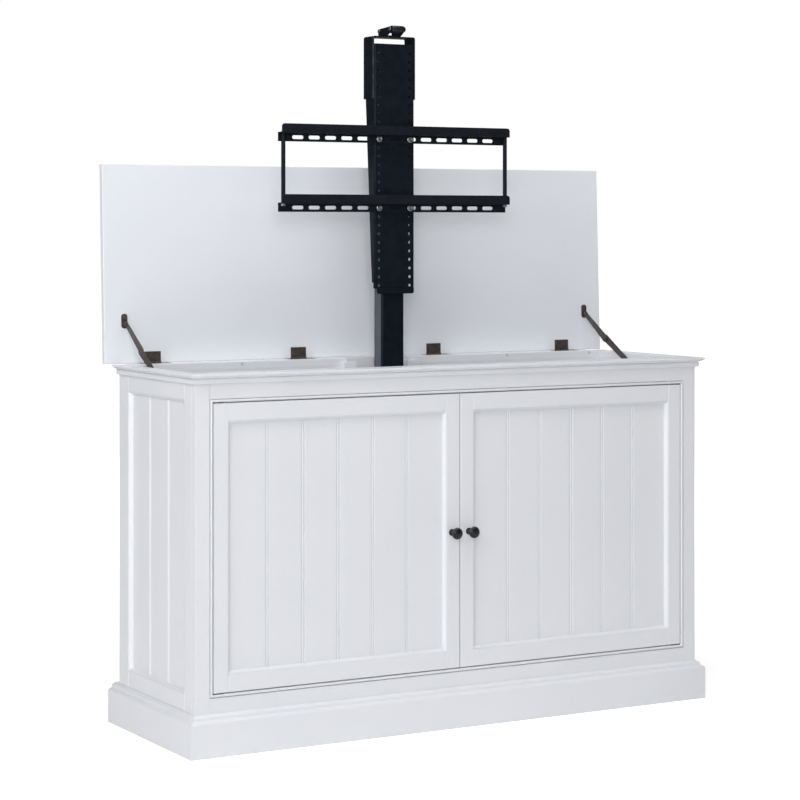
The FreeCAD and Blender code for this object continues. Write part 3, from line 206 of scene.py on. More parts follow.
def painted_fold_highlights(fold, front):
    """A painted highlight: the coat painted lighter grey along the two folds at x = -fold and +fold, y =
    front, in metres, where their edges catch light.
    """
    def wear_and_highlight(coat):
        across = coat.maths("ABSOLUTE", coat.maths("SUBTRACT", coat.from_line("X", 0.0), fold))
        away = coat.maths("MAXIMUM", across, coat.from_line("Y", front))
        near = coat.ramp(coat.maths("DIVIDE", away, FOLD_REACH), (0.55, 1.0), (1.0, 0.0))
        broken = coat.ramp(coat.noise(60, 5, 0.7), (0.34, 0.15), (0.60, 0.85))
        return coat.multiply(near, broken), FOLD_PAINTED_HIGHLIGHT
    return wear_and_highlight


def slide_tracks(side, middle, half):
    """Bare tracks of the glide pads on a tube's sides at |x| = side, within half of y = middle (metres)."""
    def wear_and_highlight(coat):
        beyond = coat.maths("SUBTRACT", coat.from_line("X", 0.0), side - TRACK_EDGE)
        out = coat.ramp(beyond, (0.0, 0.0), (0.0006, 1.0))
        within = coat.ramp(coat.maths("DIVIDE", coat.from_line("Y", middle), half), (0.88, 1.0), (1.0, 0.0))
        streaks = coat.ramp(coat.noise(260, 4, 0.6, (1.0, 1.0, 0.02)), (0.30, 0.55), (0.60, 1.0))
        return coat.multiply(coat.multiply(out, within), streaks), TRACK_BARE
    return wear_and_highlight


def bronzed_steel():
    """Dark brown bronzed steel with rubbed lighter patches."""
    steel = Finish("bronzed_steel", metallic=0.55)
    base = steel.ramp(steel.noise(70, 4, 0.6), (0.30, (0.062, 0.049, 0.046)), (0.70, (0.118, 0.095, 0.088)))
    rub = steel.ramp(steel.noise(210, 5, 0.65, (1, 1, 0.5)), (0.60, 0.0), (0.78, 0.45))
    steel.colour(steel.mix(rub, base, (0.23, 0.20, 0.185)))
    steel.roughness(steel.ramp(steel.noise(120, 4, 0.6), (0.3, 0.36), (0.7, 0.54)))
    steel.bump(steel.noise(900, 3, 0.6), depth=0.00008, strength=0.5)
    return steel.material


def plated_steel(name, light, dark, low, high):
    """Zinc plate: cloudy metal with fine scratches, its roughness between low and high."""
    steel = Finish(name, metallic=1.0)
    clouds = steel.ramp(steel.noise(140, 4, 0.6), (0.3, dark), (0.7, light))
    scratches = steel.ramp(steel.noise(1100, 2, 0.5, (0.15, 1, 1)), (0.35, 0.88), (0.60, 1.0))
    steel.colour(steel.multiply(clouds, scratches))
    steel.roughness(steel.ramp(steel.noise(300, 4, 0.6), (0.3, low), (0.7, high)))
    steel.bump(steel.noise(1300, 2, 0.5, (0.2, 1, 1)), depth=0.00003, strength=0.4)
    return steel.material


def black_lacquer():
    """Near-black lacquer on the knobs, with a soft gloss."""
    black = Finish("black_knob", specular=0.34, coat=0.40, coat_roughness=0.16)
    dark, light = (0.0030, 0.0030, 0.0036), (0.0060, 0.0060, 0.0064)
    black.colour(black.ramp(black.noise(160, 3, 0.5), (0.3, dark), (0.7, light)))
    black.roughness(black.ramp(black.noise(90, 3, 0.6), (0.3, 0.30), (0.7, 0.42)))
    black.bump(black.noise(700, 2, 0.5), depth=0.00004, strength=0.4)
    return black.material


def moulded(name, light, dark, low, high, depth):
    """Moulded plastic or rubber with a fine spark-eroded texture, its roughness between low and high."""
    plastic = Finish(name, specular=0.4)
    plastic.colour(plastic.ramp(plastic.noise(60, 3, 0.5), (0.3, dark), (0.7, light)))
    plastic.roughness(plastic.ramp(plastic.noise(200, 3, 0.6), (0.3, low), (0.7, high)))
    plastic.bump(plastic.cells(1400), depth, strength=0.6)
    return plastic.material


def screw_steel():
    """Turned steel of the lead screw, oiled and darker in patches."""
    steel = Finish("bright_steel", metallic=1.0)
    oiled, bright = (0.30, 0.29, 0.27), (0.52, 0.52, 0.52)
    steel.colour(steel.ramp(steel.noise(45, 4, 0.6), (0.35, oiled), (0.65, bright)))
    steel.roughness(steel.ramp(steel.noise(180, 4, 0.6), (0.3, 0.22), (0.7, 0.38)))
    steel.bump(steel.noise(900, 2, 0.5, (1, 1, 6)), depth=0.00004, strength=0.5)
    return steel.material


WHITE_LIGHT = (0.750, 0.763, 0.795)
WHITE_DARK = (0.733, 0.747, 0.781)
# Painted light: the lid's white is a lighter, cooler copy of the same paint, standing in for the extra
# light that falls on the lid.
LID_PAINTED_LIGHT_TINT = (1.025, 1.045, 1.055)
LID_PAINTED_LIGHT_TONES = [tuple(part * tint for part, tint in zip(tone, LID_PAINTED_LIGHT_TINT)) for tone in (WHITE_LIGHT, WHITE_DARK)]
GRAIN_UP = (9, 9, 0.6)
GRAIN_ACROSS = (0.6, 9, 9)
GRAIN_DEEP = (9, 0.6, 9)

finishes = {
    "white_paint": painted_wood("white_paint", WHITE_LIGHT, WHITE_DARK, GRAIN_UP),
    "black_powder_coat": powder_coat("black_powder_coat"),
    "zinc_plate": plated_steel("zinc_plate", (0.46, 0.465, 0.47), (0.30, 0.305, 0.315), 0.34, 0.50),
    "bright_steel": screw_steel(),
    "bronzed_steel": bronzed_steel(),
    "black_knob": black_lacquer(),
    "nylon": moulded("nylon", (0.80, 0.79, 0.74), (0.74, 0.73, 0.68), 0.40, 0.52, depth=0.00003),
    "black_plastic": moulded("black_plastic", (0.026, 0.026, 0.028), (0.016, 0.016, 0.018), 0.50, 0.66,
                             depth=0.00010),
    "black_rubber": moulded("black_rubber", (0.012, 0.012, 0.014), (0.007, 0.007, 0.009), 0.26, 0.38,
                            depth=0.00003),
}

WHITE_ACROSS = painted_wood("white_paint_across", WHITE_LIGHT, WHITE_DARK, GRAIN_ACROSS)
WHITE_DEEP = painted_wood("white_paint_deep", WHITE_LIGHT, WHITE_DARK, GRAIN_DEEP)
RAIL_COAT = powder_coat("rail_coat", (0.0068, 0.0088, 0.0126), (0.0094, 0.0118, 0.0164))
TUBE_MIDDLE = 0.1325
INNER_TRACKS = slide_tracks(side=0.026, middle=TUBE_MIDDLE, half=0.009)
COLUMN_TRACKS = slide_tracks(side=0.033, middle=TUBE_MIDDLE, half=0.016)
OWN_FINISHES = {
    "top_front_rail": WHITE_ACROSS,
    "top_back_rail": WHITE_ACROSS,
    "plinth_back": WHITE_ACROSS,
    "top_side_rails": WHITE_DEEP,
    # The lid's copy of the paint is lighter and cooler, as painted light.
    "lid_panel": painted_wood("white_paint_lid_painted_light", *LID_PAINTED_LIGHT_TONES, GRAIN_ACROSS),
    # The plate's and the head's folds carry a painted highlight, where their edges catch light.
    "carriage_plate": powder_coat("plate_coat_painted_highlight", wear_and_highlight=painted_fold_highlights(fold=0.0595, front=0.0985)),
    "head_bracket": powder_coat("head_coat_painted_highlight", wear_and_highlight=painted_fold_highlights(fold=0.0625, front=0.1055)),
    "inner_tube": powder_coat("inner_tube_coat", wear_and_highlight=INNER_TRACKS),
    "column_tube": powder_coat("column_tube_coat", wear_and_highlight=COLUMN_TRACKS),
    "upper_rail": RAIL_COAT,
    "lower_rail": RAIL_COAT,
}

slot_of = {part["node"]: part["material_slot"] for part in frame["record"]["subparts"]}
for name, node in nodes.items():
    node.data.materials.clear()
    node.data.materials.append(OWN_FINISHES.get(name) or finishes[slot_of[name]])


# ------------------------------------------------------------------ softened edges of the CAD's own parts

WELD_REACH = 0.000001
SHARP_ANGLE = 35
BEVEL_SEGMENTS = 2
SOFT_EDGES = {
    "face_frame": 0.9, "top_front_rail": 1.2, "top_side_rails": 1.2, "top_back_rail": 1.0, "lid_panel": 0.6,
    "door_frame_left": 0.4, "door_frame_right": 0.4, "side_frame_left": 0.4, "side_frame_right": 0.4,
    "plinth_back": 0.8, "lift_uprights": 1.0, "floor_panel": 0.5, "back_panel": 0.5,
    "carriage_plate": 0.3, "head_bracket": 0.3, "upper_rail": 0.3, "lower_rail": 0.3,
    "fixed_channel": 0.3, "column_tube": 0.3, "inner_tube": 0.3, "lift_brackets": 0.4,
    "lift_base_plate": 0.5, "rod_bolts": 0.4, "roller_bracket": 0.3, "roller_axle": 0.4,
    "screw_bearing": 0.5, "stay_wall_plates": 0.4, "stay_lid_plates": 0.4,
    "hinge_rim_leaves": 0.25, "hinge_lid_leaves": 0.25,
    "stay_upper_arm_left": 0.4, "stay_upper_arm_right": 0.4,
    "stay_lower_arm_left": 0.4, "stay_lower_arm_right": 0.4,
    "gear_motor": 0.6, "control_box": 1.2, "lid_roller": 0.8, "drive_nut": 0.4, "glide_pads": 0.4,
}


def soften(node, width):
    """Rounds a part's sharp edges by a width in mm, as paint and pressing leave them."""
    weld = node.modifiers.new("weld", "WELD")
    weld.merge_threshold = WELD_REACH
    bevel = node.modifiers.new("bevel", "BEVEL")
    bevel.width = width / 1000
    bevel.segments = BEVEL_SEGMENTS
    bevel.limit_method = "ANGLE"
    bevel.angle_limit = math.radians(SHARP_ANGLE)
    bevel.harden_normals = True
    bevel.miter_outer = "MITER_ARC"


for name, width in SOFT_EDGES.items():
    soften(nodes[name], width)


# ------------------------------------------------------------------ mesh helpers

SMALL_FACE = 0.006


def new_piece(name, mesh, slot, body, finish=None):
    """Puts a mesh into the scene as a piece that rides on a body."""
    piece = bpy.data.objects.new(name, mesh)
    bpy.context.scene.collection.objects.link(piece)
    mesh.materials.clear()
    mesh.materials.append(finish or finishes[slot])
    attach(piece, body)
    return piece


def finish_mesh(mesh, name, smooth_angle=40):
    """Turns a bmesh into mesh data; small faces are shaded smooth, up to edges sharper than the angle."""
    bmesh.ops.recalc_face_normals(mesh, faces=mesh.faces)
    limit = math.radians(smooth_angle)
    for face in mesh.faces:
        face.smooth = min(edge.calc_length() for edge in face.edges) < SMALL_FACE
    for edge in mesh.edges:
        if len(edge.link_faces) == 2 and edge.calc_face_angle(0) > limit:
            edge.smooth = False
    data = bpy.data.meshes.new(name)
    mesh.to_mesh(data)
    mesh.free()
    return data


def bridge(rings, path_closed=False):
    """A solid through rings of equally many points, with flat ends unless the path closes."""
    mesh = bmesh.new()
    made = [[mesh.verts.new(point) for point in ring] for ring in rings]
    joined = list(zip(made, made[1:]))
    if path_closed:
        joined.append((made[-1], made[0]))
    for first, second in joined:
        for step, following in around(len(first)):
            mesh.faces.new((first[step], first[following], second[following], second[step]))
    if not path_closed:
        mesh.faces.new(list(reversed(made[0])))
        mesh.faces.new(made[-1])
    return mesh


def mitred_ring(name, body, window, section, to_world, smooth_angle):
    """A mitred white strip round a window (low, foot, high, top); its section is (outwards, back) in mm."""
    low, foot, high, top = window
    rings = []
    for side, z_side in CORNERS:
        edge = high if side > 0 else low
        level = top if z_side > 0 else foot
        rings.append([to_world(edge + out * side, back, level + out * z_side) for out, back in section])
    mesh = bridge(rings, path_closed=True)
    return new_piece(name, finish_mesh(mesh, name, smooth_angle), "white_paint", body)


def axes_along(direction):
    """A turn that takes +Z to the direction."""
    return Vector((0, 0, 1)).rotation_difference(Vector(direction).normalized()).to_matrix().to_4x4()


def lathe(profile, place, direction, steps):
    """A turned form; its profile is (radius, height) in mm from foot to tip, with a point at radius 0."""
    mesh = bmesh.new()
    turn = Matrix.Translation(place) @ axes_along(direction)
    rings = []
    for radius, height in profile:
        angles = [2 * math.pi * step / steps for step in range(steps)] if radius else [0]
        rings.append([mesh.verts.new(turn @ mm(radius * math.cos(angle), radius * math.sin(angle), height))
                      for angle in angles])
    for low, high in zip(rings, rings[1:]):
        for step, following in around(steps):
            corners = []
            for vertex in (low[step % len(low)], low[following % len(low)],
                           high[following % len(high)], high[step % len(high)]):
                if vertex not in corners:
                    corners.append(vertex)
            mesh.faces.new(corners)
    return mesh


def smooth_profile(points, rounds=3):
    """Corner cutting, which turns a coarse profile into a smooth one and keeps its ends."""
    for _ in range(rounds):
        finer = [points[0]]
        for first, last in zip(points, points[1:]):
            for share in (0.75, 0.25):
                finer.append(tuple(a * share + b * (1 - share) for a, b in zip(first, last)))
        finer.append(points[-1])
        points = finer
    return points


# ------------------------------------------------------------------ beaded boards in the doors and sides

DOOR_BOARD_WIDTH = 95.8
SIDE_BOARD_WIDTH = 110
SIDE_PANEL_FACE = 715
DOOR_JOINTS = (-2, -1, 0, 1, 2)
# Half of a joint between two boards, as (across, depth): a quirk, then the bead up to its middle.
JOINT_HALF = [
    (-5.8, 0.0), (-5.3, 0.12), (-4.0, 1.4), (-3.6, 3.0), (-2.8, 3.0), (-2.4, 1.5), (-1.7, 0.6),
    (-0.8, 0.15), (0, 0.05),
]


def beaded_front(low, high, places):
    """A panel's front line as (along, depth), with two narrow quirks and a small bead at each joint."""
    line = [(low, 0)]
    for place in places:
        line += [(place + across, depth) for across, depth in JOINT_HALF]
        line += [(place - across, depth) for across, depth in reversed(JOINT_HALF[:-1])]
    line.append((high, 0))
    return line


def beaded_panel(name, body, replaced, line, span_z, to_world):
    """A panel with that front line, as tall as span_z, in place of a plain one."""
    outline = line + [(line[-1][0], PANEL_THICKNESS), (line[0][0], PANEL_THICKNESS)]
    mesh = bridge([[to_world(along, depth, z) for along, depth in outline] for z in span_z])
    piece = new_piece(name, finish_mesh(mesh, name, smooth_angle=30), "white_paint", body)
    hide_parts(replaced)


for side, word in SIDES:
    low, high = (corner * 1000 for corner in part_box(f"door_panel_{word}"))
    middle = (low.x + high.x) / 2
    beaded_panel(
        f"beaded_door_panel_{word}", f"door_{word}", f"door_panel_{word}",
        beaded_front(low.x, high.x, [middle + DOOR_BOARD_WIDTH * step for step in DOOR_JOINTS]),
        (low.z, high.z), lambda along, depth, z: mm(along, low.y + depth, z),
    )
    low, high = (corner * 1000 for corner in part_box(f"side_panel_{word}"))
    middle = (low.y + high.y) / 2
    beaded_panel(
        f"beaded_side_panel_{word}", "cabinet", f"side_panel_{word}",
        beaded_front(low.y, high.y, [middle - SIDE_BOARD_WIDTH / 2, middle + SIDE_BOARD_WIDTH / 2]),
        (low.z, high.z), lambda along, depth, z: mm(side * (SIDE_PANEL_FACE - depth), along, z),
    )


# ------------------------------------------------------------------ cornice and plinth mouldings

# Sections as (out from the case, up from the floor).
CORNICE = [
    (0, 900), (19.4, 900), (20, 899.4), (20, 896.0), (19.6, 895.6), (17.0, 895.5), (16.8, 894.4),
    (15.6, 892.9), (13.6, 891.7), (11.4, 890.8), (9.9, 890.1), (9.6, 889.6), (5.6, 889.4), (5.6, 888.8),
    (6.8, 888.2), (7.8, 887.0), (8.2, 885.2), (8.2, 882.2), (7.9, 879.6), (7.3, 877.6), (6.4, 876.3),
    (0.6, 875.9), (0.6, 873), (0, 873),
]
PLINTH = [
    (20, 0.6), (20, 79.6), (19.7, 81.2), (18.9, 82.7), (17.4, 84.2), (15.4, 85.5), (13.0, 86.6),
    (10.9, 87.3), (10.0, 87.9), (9.7, 89.0), (9.6, 92.8), (9.2, 94.2), (8.2, 95.2), (6.2, 96.3),
    (3.6, 97.7), (1.6, 99.2), (0.8, 100), (-25, 100), (-25, 81), (0, 81), (0, 0), (19.4, 0),
]
MOULDING_ANGLE = 24


def moulding(name, ends, finish):
    """One length of a moulding between two end sections."""
    mesh = finish_mesh(bridge(ends), name, MOULDING_ANGLE)
    return new_piece(name, mesh, "white_paint", "cabinet", finish)


def mitred_mouldings(prefix, section):
    """Three lengths round the front and the sides of the case, mitred at the corners."""
    corners = {side: [mm(side * (CASE_SIDE + out), CASE_FRONT - out, up) for out, up in section]
               for side in (-1, 1)}
    for side, word in SIDES:
        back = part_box(f"{prefix}_{word}")[1].y * 1000
        back_end = [mm(side * (CASE_SIDE + out), back, up) for out, up in section]
        piece = moulding(f"{prefix}_moulding_{word}", [corners[side], back_end], WHITE_DEEP)
        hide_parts(f"{prefix}_{word}")
    piece = moulding(f"{prefix}_moulding_front", [corners[-1], corners[1]], WHITE_ACROSS)
    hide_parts(f"{prefix}_front")


mitred_mouldings("cornice", CORNICE)
mitred_mouldings("plinth", PLINTH)


# ------------------------------------------------------------------ moulded edges round the panels

STICKING = [
    (0, 0.3), (-0.8, 0.4), (-1.5, 0.9), (-2.8, 2.1), (-4.2, 3.7), (-5.5, 5.6), (-6.5, 7.7), (-7.0, 9.6),
    (-7.0, 10), (0, 10),
]
# The windows of the frames, as (low, foot, high, top); a door's is measured from the cabinet's middle.
DOOR_WINDOW = (39.25, 189.5, 639, 787)
SIDE_WINDOW = (-168.5, 141, 166.5, 836)

for side, word in SIDES:
    mitred_ring(f"door_sticking_{word}", f"door_{word}", DOOR_WINDOW, STICKING,
                lambda across, back, z: mm(side * across, CASE_FRONT + back, z), smooth_angle=35)
    mitred_ring(f"side_sticking_{word}", "cabinet", SIDE_WINDOW, STICKING,
                lambda along, back, z: mm(side * (CASE_SIDE - back), along, z), smooth_angle=35)


# ------------------------------------------------------------------ bead and door stop round the opening

BEAD_WIDTH = 8
BEAD_DEPTH = 20
BEAD_ROUND = [(3.3 + 2.9 * math.cos(angle), 0.2 - 2.65 * math.sin(angle))
              for angle in (math.radians(step) for step in range(0, 181, 18))]
BEAD_SECTION = [
    (BEAD_WIDTH, BEAD_DEPTH), (BEAD_WIDTH, 4.5), (6.3, 4.5), (6.3, 0.6), *BEAD_ROUND,
    (0.3, 0.6), (0, 1.4), (0, BEAD_DEPTH),
]
# The stop is a rebated strip behind the frame, which the closed doors shade.
STOP_WINDOW = (-679.5, 144, 679.5, 832.5)
STOP_SECTION = [(6, 20), (6, 31), (-8, 31), (-8, 27.4), (-7.4, 26.8), (0.8, 26.8), (0.8, 20)]


def on_front(across, back, z):
    return mm(across, CASE_FRONT + back, z)


low, high = (corner * 1000 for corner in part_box("opening_bead"))
bead_window = (low.x + BEAD_WIDTH, low.z + BEAD_WIDTH, high.x - BEAD_WIDTH, high.z - BEAD_WIDTH)
piece = mitred_ring("quirked_opening_bead", "cabinet", bead_window, BEAD_SECTION, on_front, smooth_angle=30)
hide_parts("opening_bead")
mitred_ring("door_stop_strip", "cabinet", STOP_WINDOW, STOP_SECTION, on_front, smooth_angle=30)


# ------------------------------------------------------------------ door knobs

# Profiles as (radius, distance from the door): the rosette, the neck and the dome's edge, the dome's face.
KNOB_FOOT = [(0, 0.2), (8.2, 0.2), (8.5, 0.5), (8.5, 2.4), (8.0, 3.0), (6.4, 3.1), (5.2, 3.9)]
KNOB_NECK = [
    (5.2, 3.9), (4.9, 8.0), (5.0, 13.0), (6.4, 18.0), (10.2, 21.2), (13.4, 23.4), (14.7, 26.4),
    (14.5, 29.6), (13.0, 31.6), (11.9, 32.5),
]
KNOB_FACE = [(11.9, 32.5), (11.2, 32.3), (10.4, 31.7), (9.4, 32.2), (7.0, 33.4), (3.4, 34.2), (0, 34.4)]
KNOB_PROFILE = KNOB_FOOT + smooth_profile(KNOB_NECK)[1:] + smooth_profile(KNOB_FACE, 2)[1:]
KNOB_STEPS = 72


def build_knob(word):
    low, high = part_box(f"door_knob_{word}")
    place = Vector(((low.x + high.x) / 2, high.y, (low.z + high.z) / 2))
    mesh = finish_mesh(lathe(KNOB_PROFILE, place, (0, -1, 0), KNOB_STEPS), "turned_knob", smooth_angle=50)
    knob = new_piece(f"turned_knob_{word}", mesh, "black_knob", f"door_{word}")
    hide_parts(f"door_knob_{word}")


build_knob("left")
build_knob("right")


# ------------------------------------------------------------------ screws

# Rings of a cross-headed screw as (share of the radius, share of the height). Each quarter of a ring has
# its steps at these degrees; the two in the middle are in an arm of the cross, as far out as ARM_REACH.
SCREW_RINGS = (
    (0.20, 0.99), (0.26, 0.98), (0.54, 0.93), (0.60, 0.91), (0.78, 0.80), (0.92, 0.60), (1.0, 0.32),
    (1.0, -0.2),
)
SCREW_STEPS = (-30, -13, -9, 9, 13, 30)
ARM_STEPS = (2, 3)
ARM_REACH = 0.54
CROSS_CENTRE = 0.20
RECESS_SHARE = 0.25

# Rings of a rail bolt as (radius, rise, whether it's a hexagon).
BOLT_RINGS = (
    (3.9, -8.0, False), (3.9, 0.0, False), (8.4, 0.0, False), (8.4, 0.7, False), (7.4, 1.5, False),
    (6.1, 1.6, True), (6.1, 4.9, True), (5.6, 5.9, False), (3.6, 5.9, True), (3.2, 5.5, True),
    (3.2, 2.6, True),
)
BOLT_STEPS = 24
SOCKET_FLOOR = 2.0


def cross_screw(radius, height):
    """A low domed head with a cross recess, foot at the origin and +Z outwards, as points and faces."""
    angles = [math.radians(90 * quarter + step) for quarter in range(4) for step in SCREW_STEPS]
    recess = height * RECESS_SHARE
    points = [mm(0, 0, recess)]
    for share, rise in SCREW_RINGS:
        for number, angle in enumerate(angles):
            in_arm = number % len(SCREW_STEPS) in ARM_STEPS and share <= ARM_REACH
            up = recess if in_arm or share <= CROSS_CENTRE else height * rise
            points.append(mm(radius * share * math.cos(angle), radius * share * math.sin(angle), up))
    count = len(angles)
    faces = [(0, 1 + step, 1 + following) for step, following in around(count)]
    for ring in range(len(SCREW_RINGS) - 1):
        low = 1 + ring * count
        high = low + count
        faces += [(low + step, high + step, high + following, low + following)
                  for step, following in around(count)]
    outer = 1 + (len(SCREW_RINGS) - 1) * count
    faces.append(tuple(outer + step for step in reversed(range(count))))
    return points, faces


def flanged_bolt():
    """A hexagon bolt with a washer flange and a hexagon socket; its seat is at the origin, +Z outwards."""
    points = [mm(0, 0, BOLT_RINGS[0][1])]
    for radius, rise, sixfold in BOLT_RINGS:
        for step in range(BOLT_STEPS):
            angle = 2 * math.pi * step / BOLT_STEPS
            reach = radius
            if sixfold:
                reach = radius / math.cos((angle + math.pi / 6) % (math.pi / 3) - math.pi / 6)
            points.append(mm(reach * math.cos(angle), reach * math.sin(angle), rise))
    points.append(mm(0, 0, SOCKET_FLOOR))
    faces = [(0, 1 + following, 1 + step) for step, following in around(BOLT_STEPS)]
    for ring in range(len(BOLT_RINGS) - 1):
        low = 1 + ring * BOLT_STEPS
        high = low + BOLT_STEPS
        faces += [(low + step, low + following, high + following, high + step)
                  for step, following in around(BOLT_STEPS)]
    inner = 1 + (len(BOLT_RINGS) - 1) * BOLT_STEPS
    faces += [(len(points) - 1, inner + step, inner + following) for step, following in around(BOLT_STEPS)]
    return points, faces


def set_screws(name, shape, places, slot, body):
    """Puts a copy of a head at each (place, direction, turn in degrees), as one piece."""
    points, faces = shape
    mesh = bmesh.new()
    for place, direction, angle in places:
        turn = Matrix.Rotation(math.radians(angle), 4, "Z")
        to_place = Matrix.Translation(place) @ axes_along(direction) @ turn
        made = [mesh.verts.new(to_place @ point) for point in points]
        for face in faces:
            mesh.faces.new([made[index] for index in face])
    return new_piece(name, finish_mesh(mesh, name), slot, body)


RAIL_FRONT = 100.5
RAIL_BOLTS = ((-46, 1475, 12), (46, 1475, -8), (-46, 1295, 25), (46, 1295, 3))
rail_bolts = set_screws("socketed_rail_bolts", flanged_bolt(), [
    (mm(x, RAIL_FRONT, z), (0, -1, 0), turn) for x, z, turn in RAIL_BOLTS
], "zinc_plate", "lift_carriage")
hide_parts("rail_bolts")

SMALL_HEAD = cross_screw(radius=3.4, height=0.9)
WIDE_HEAD = cross_screw(radius=4.6, height=1.6)
TURNS = (12, 55, 31, 78, 5, 64, 40, 22, 71, 48)

HINGES = (-622, -206, 206, 622)
HINGE_AXIS_Y = 251
LEAN = math.radians(2.19)
LID_FRONT = Vector((0, -math.cos(LEAN), math.sin(LEAN)))
LID_LEAF_HOLES = ((-14, 20.5), (0, 11.0), (14, 20.5))
RIM_LEAF_HOLES = ((-30, 234), (30, 234))

BATTEN_FACE = 187
BATTEN_LEVEL = 895
BATTEN_HOLES = (-671, -402, 402, 671)

LID_PLATE_X = 698.9
LID_PLATE_OUT = 2.5
LID_PLATE_HOLES = (114, 121)
WALL_PLATE_X = 702.5
WALL_PLATE_Y = 38
WALL_PLATE_LEVEL = 874
WALL_PLATE_HOLES = (-14.0, 14.0)


def on_lid(x, out, up):
    """A point of the open lid: out from its inner face towards the front, up from the hinge axis."""
    return mm(x, HINGE_AXIS_Y + up * math.sin(LEAN) - out * math.cos(LEAN),
              CASE_TOP + up * math.cos(LEAN) + out * math.sin(LEAN))


set_screws("lid_hinge_screws", SMALL_HEAD, [
    (on_lid(x + dx, 0.0, up), LID_FRONT, TURNS[(index * 3 + number) % len(TURNS)])
    for index, x in enumerate(HINGES) for number, (dx, up) in enumerate(LID_LEAF_HOLES)
], "bronzed_steel", "lid")
set_screws("rim_hinge_screws", SMALL_HEAD, [
    (mm(x + dx, y, CASE_TOP), (0, 0, 1), TURNS[(index * 2 + number) % len(TURNS)])
    for index, x in enumerate(HINGES) for number, (dx, y) in enumerate(RIM_LEAF_HOLES)
], "bronzed_steel", "cabinet")
batten_screws = set_screws("batten_screws", SMALL_HEAD, [
    (mm(x, BATTEN_FACE, BATTEN_LEVEL), (0, -1, 0), TURNS[number]) for number, x in enumerate(BATTEN_HOLES)
], "zinc_plate", "cabinet")
# Painted reflection: the batten's screw heads get a paler copy of the zinc, which stands in for the bright
# surroundings they would reflect.
batten_screws.data.materials[0] = plated_steel(
    "zinc_painted_reflection", (0.82, 0.83, 0.84), (0.66, 0.67, 0.68), 0.50, 0.62)
set_screws("stay_lid_screws", SMALL_HEAD, [
    (on_lid(side * LID_PLATE_X, LID_PLATE_OUT, up), LID_FRONT, TURNS[number + 2])
    for side in (-1, 1) for number, up in enumerate(LID_PLATE_HOLES)
], "bronzed_steel", "lid")
set_screws("stay_wall_screws", SMALL_HEAD, [
    (mm(side * WALL_PLATE_X, WALL_PLATE_Y + dy, WALL_PLATE_LEVEL), (-side, 0, 0), TURNS[number + 4])
    for side in (-1, 1) for number, dy in enumerate(WALL_PLATE_HOLES)
], "bronzed_steel", "cabinet")

# Screws set from a part's own box; these offsets are in metres.
HEAD_SCREW_BACK = 0.030
HEAD_SCREW_DROPS = (0.052, 0.092)
low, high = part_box("head_bracket")
set_screws("head_screws", WIDE_HEAD, [
    (Vector((side * high.x, low.y + HEAD_SCREW_BACK, high.z - drop)), (side, 0, 0), TURNS[number])
    for side in (-1, 1) for number, drop in enumerate(HEAD_SCREW_DROPS)
], "black_powder_coat", "lift_carriage")

BACK_FACE = 225
# The back panel's holes as (x, z, which turn): two rows along its top and foot, and three at each end.
BACK_ROWS_X = (-690, -460, -230, 0, 230, 460, 690)
BACK_HOLES = [(x, z, abs(x) // 115 + z) for x in BACK_ROWS_X for z in (128, 868)]
BACK_HOLES += [(x, z, z // 10) for x in (-690, 690) for z in (310, 500, 690)]
set_screws("back_panel_screws", SMALL_HEAD, [
    (mm(x, BACK_FACE, z), (0, 1, 0), TURNS[pick % len(TURNS)]) for x, z, pick in BACK_HOLES
], "zinc_plate", "cabinet")

# Also set from the part's box, in metres.
BASE_SCREW_X = 0.058
BASE_SCREW_INSET = 0.012
low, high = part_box("lift_base_plate")
set_screws("base_plate_screws", WIDE_HEAD, [
    (Vector((side * BASE_SCREW_X, y, high.z)), (0, 0, 1), TURNS[number + 3])
    for side in (-1, 1) for number, y in enumerate((low.y + BASE_SCREW_INSET, high.y - BASE_SCREW_INSET))
], "zinc_plate", "cabinet")


# ------------------------------------------------------------------ lead screw thread

# Lengths are in metres. A pitch holds the root, the two flanks and the crest; some levels at the two ends
# are plain, PLAIN_SHARE of the way from root to crest.
THREAD_LEAD = 0.020
THREAD_STARTS = 4
THREAD_DEPTH = 0.0013
THREAD_CLEARANCE = 0.0001
THREAD_STEPS = 24
THREAD_RISE = 0.00125
ROOT_SHARE = 0.34
FLANK_SHARE = 0.32
PLAIN_LEVELS = 6
PLAIN_SHARE = 0.45


def build_lead_screw():
    """A four-start trapezoidal thread over the whole length of the plain screw, with plain ends."""
    low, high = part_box("lead_screw")
    centre = (low + high) / 2
    top_radius = (high.x - low.x) / 2 - THREAD_CLEARANCE
    root_radius = top_radius - THREAD_DEPTH
    levels = int((high.z - low.z) / THREAD_RISE)
    rise = (high.z - low.z) / levels
    rings = []
    for level in range(levels + 1):
        height = low.z + level * rise
        ring = []
        for step in range(THREAD_STEPS):
            angle = 2 * math.pi * step / THREAD_STEPS
            phase = (height / THREAD_LEAD - step / THREAD_STEPS) * THREAD_STARTS % 1.0
            share = min(max((abs(phase - 0.5) * 2 - ROOT_SHARE) / FLANK_SHARE, 0), 1)
            if level < PLAIN_LEVELS or level > levels - PLAIN_LEVELS:
                share = PLAIN_SHARE
            radius = root_radius + (top_radius - root_radius) * share
            ring.append((centre.x + radius * math.cos(angle), centre.y + radius * math.sin(angle), height))
        rings.append(ring)
    name = "lead_screw_thread"
    mesh = finish_mesh(bridge(rings), name, smooth_angle=60)
    piece = new_piece(name, mesh, "bright_steel", "screw")
    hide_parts("lead_screw")


build_lead_screw()


# ------------------------------------------------------------------ domed rivets of the stays

RIVET_DOME = [(5.1, 0.0), (5.0, 0.35), (4.4, 0.95), (3.2, 1.45), (1.6, 1.75), (0, 1.85)]
RIVET_STEPS = 28
ELBOW_Y = 148
ELBOW_Z = 936

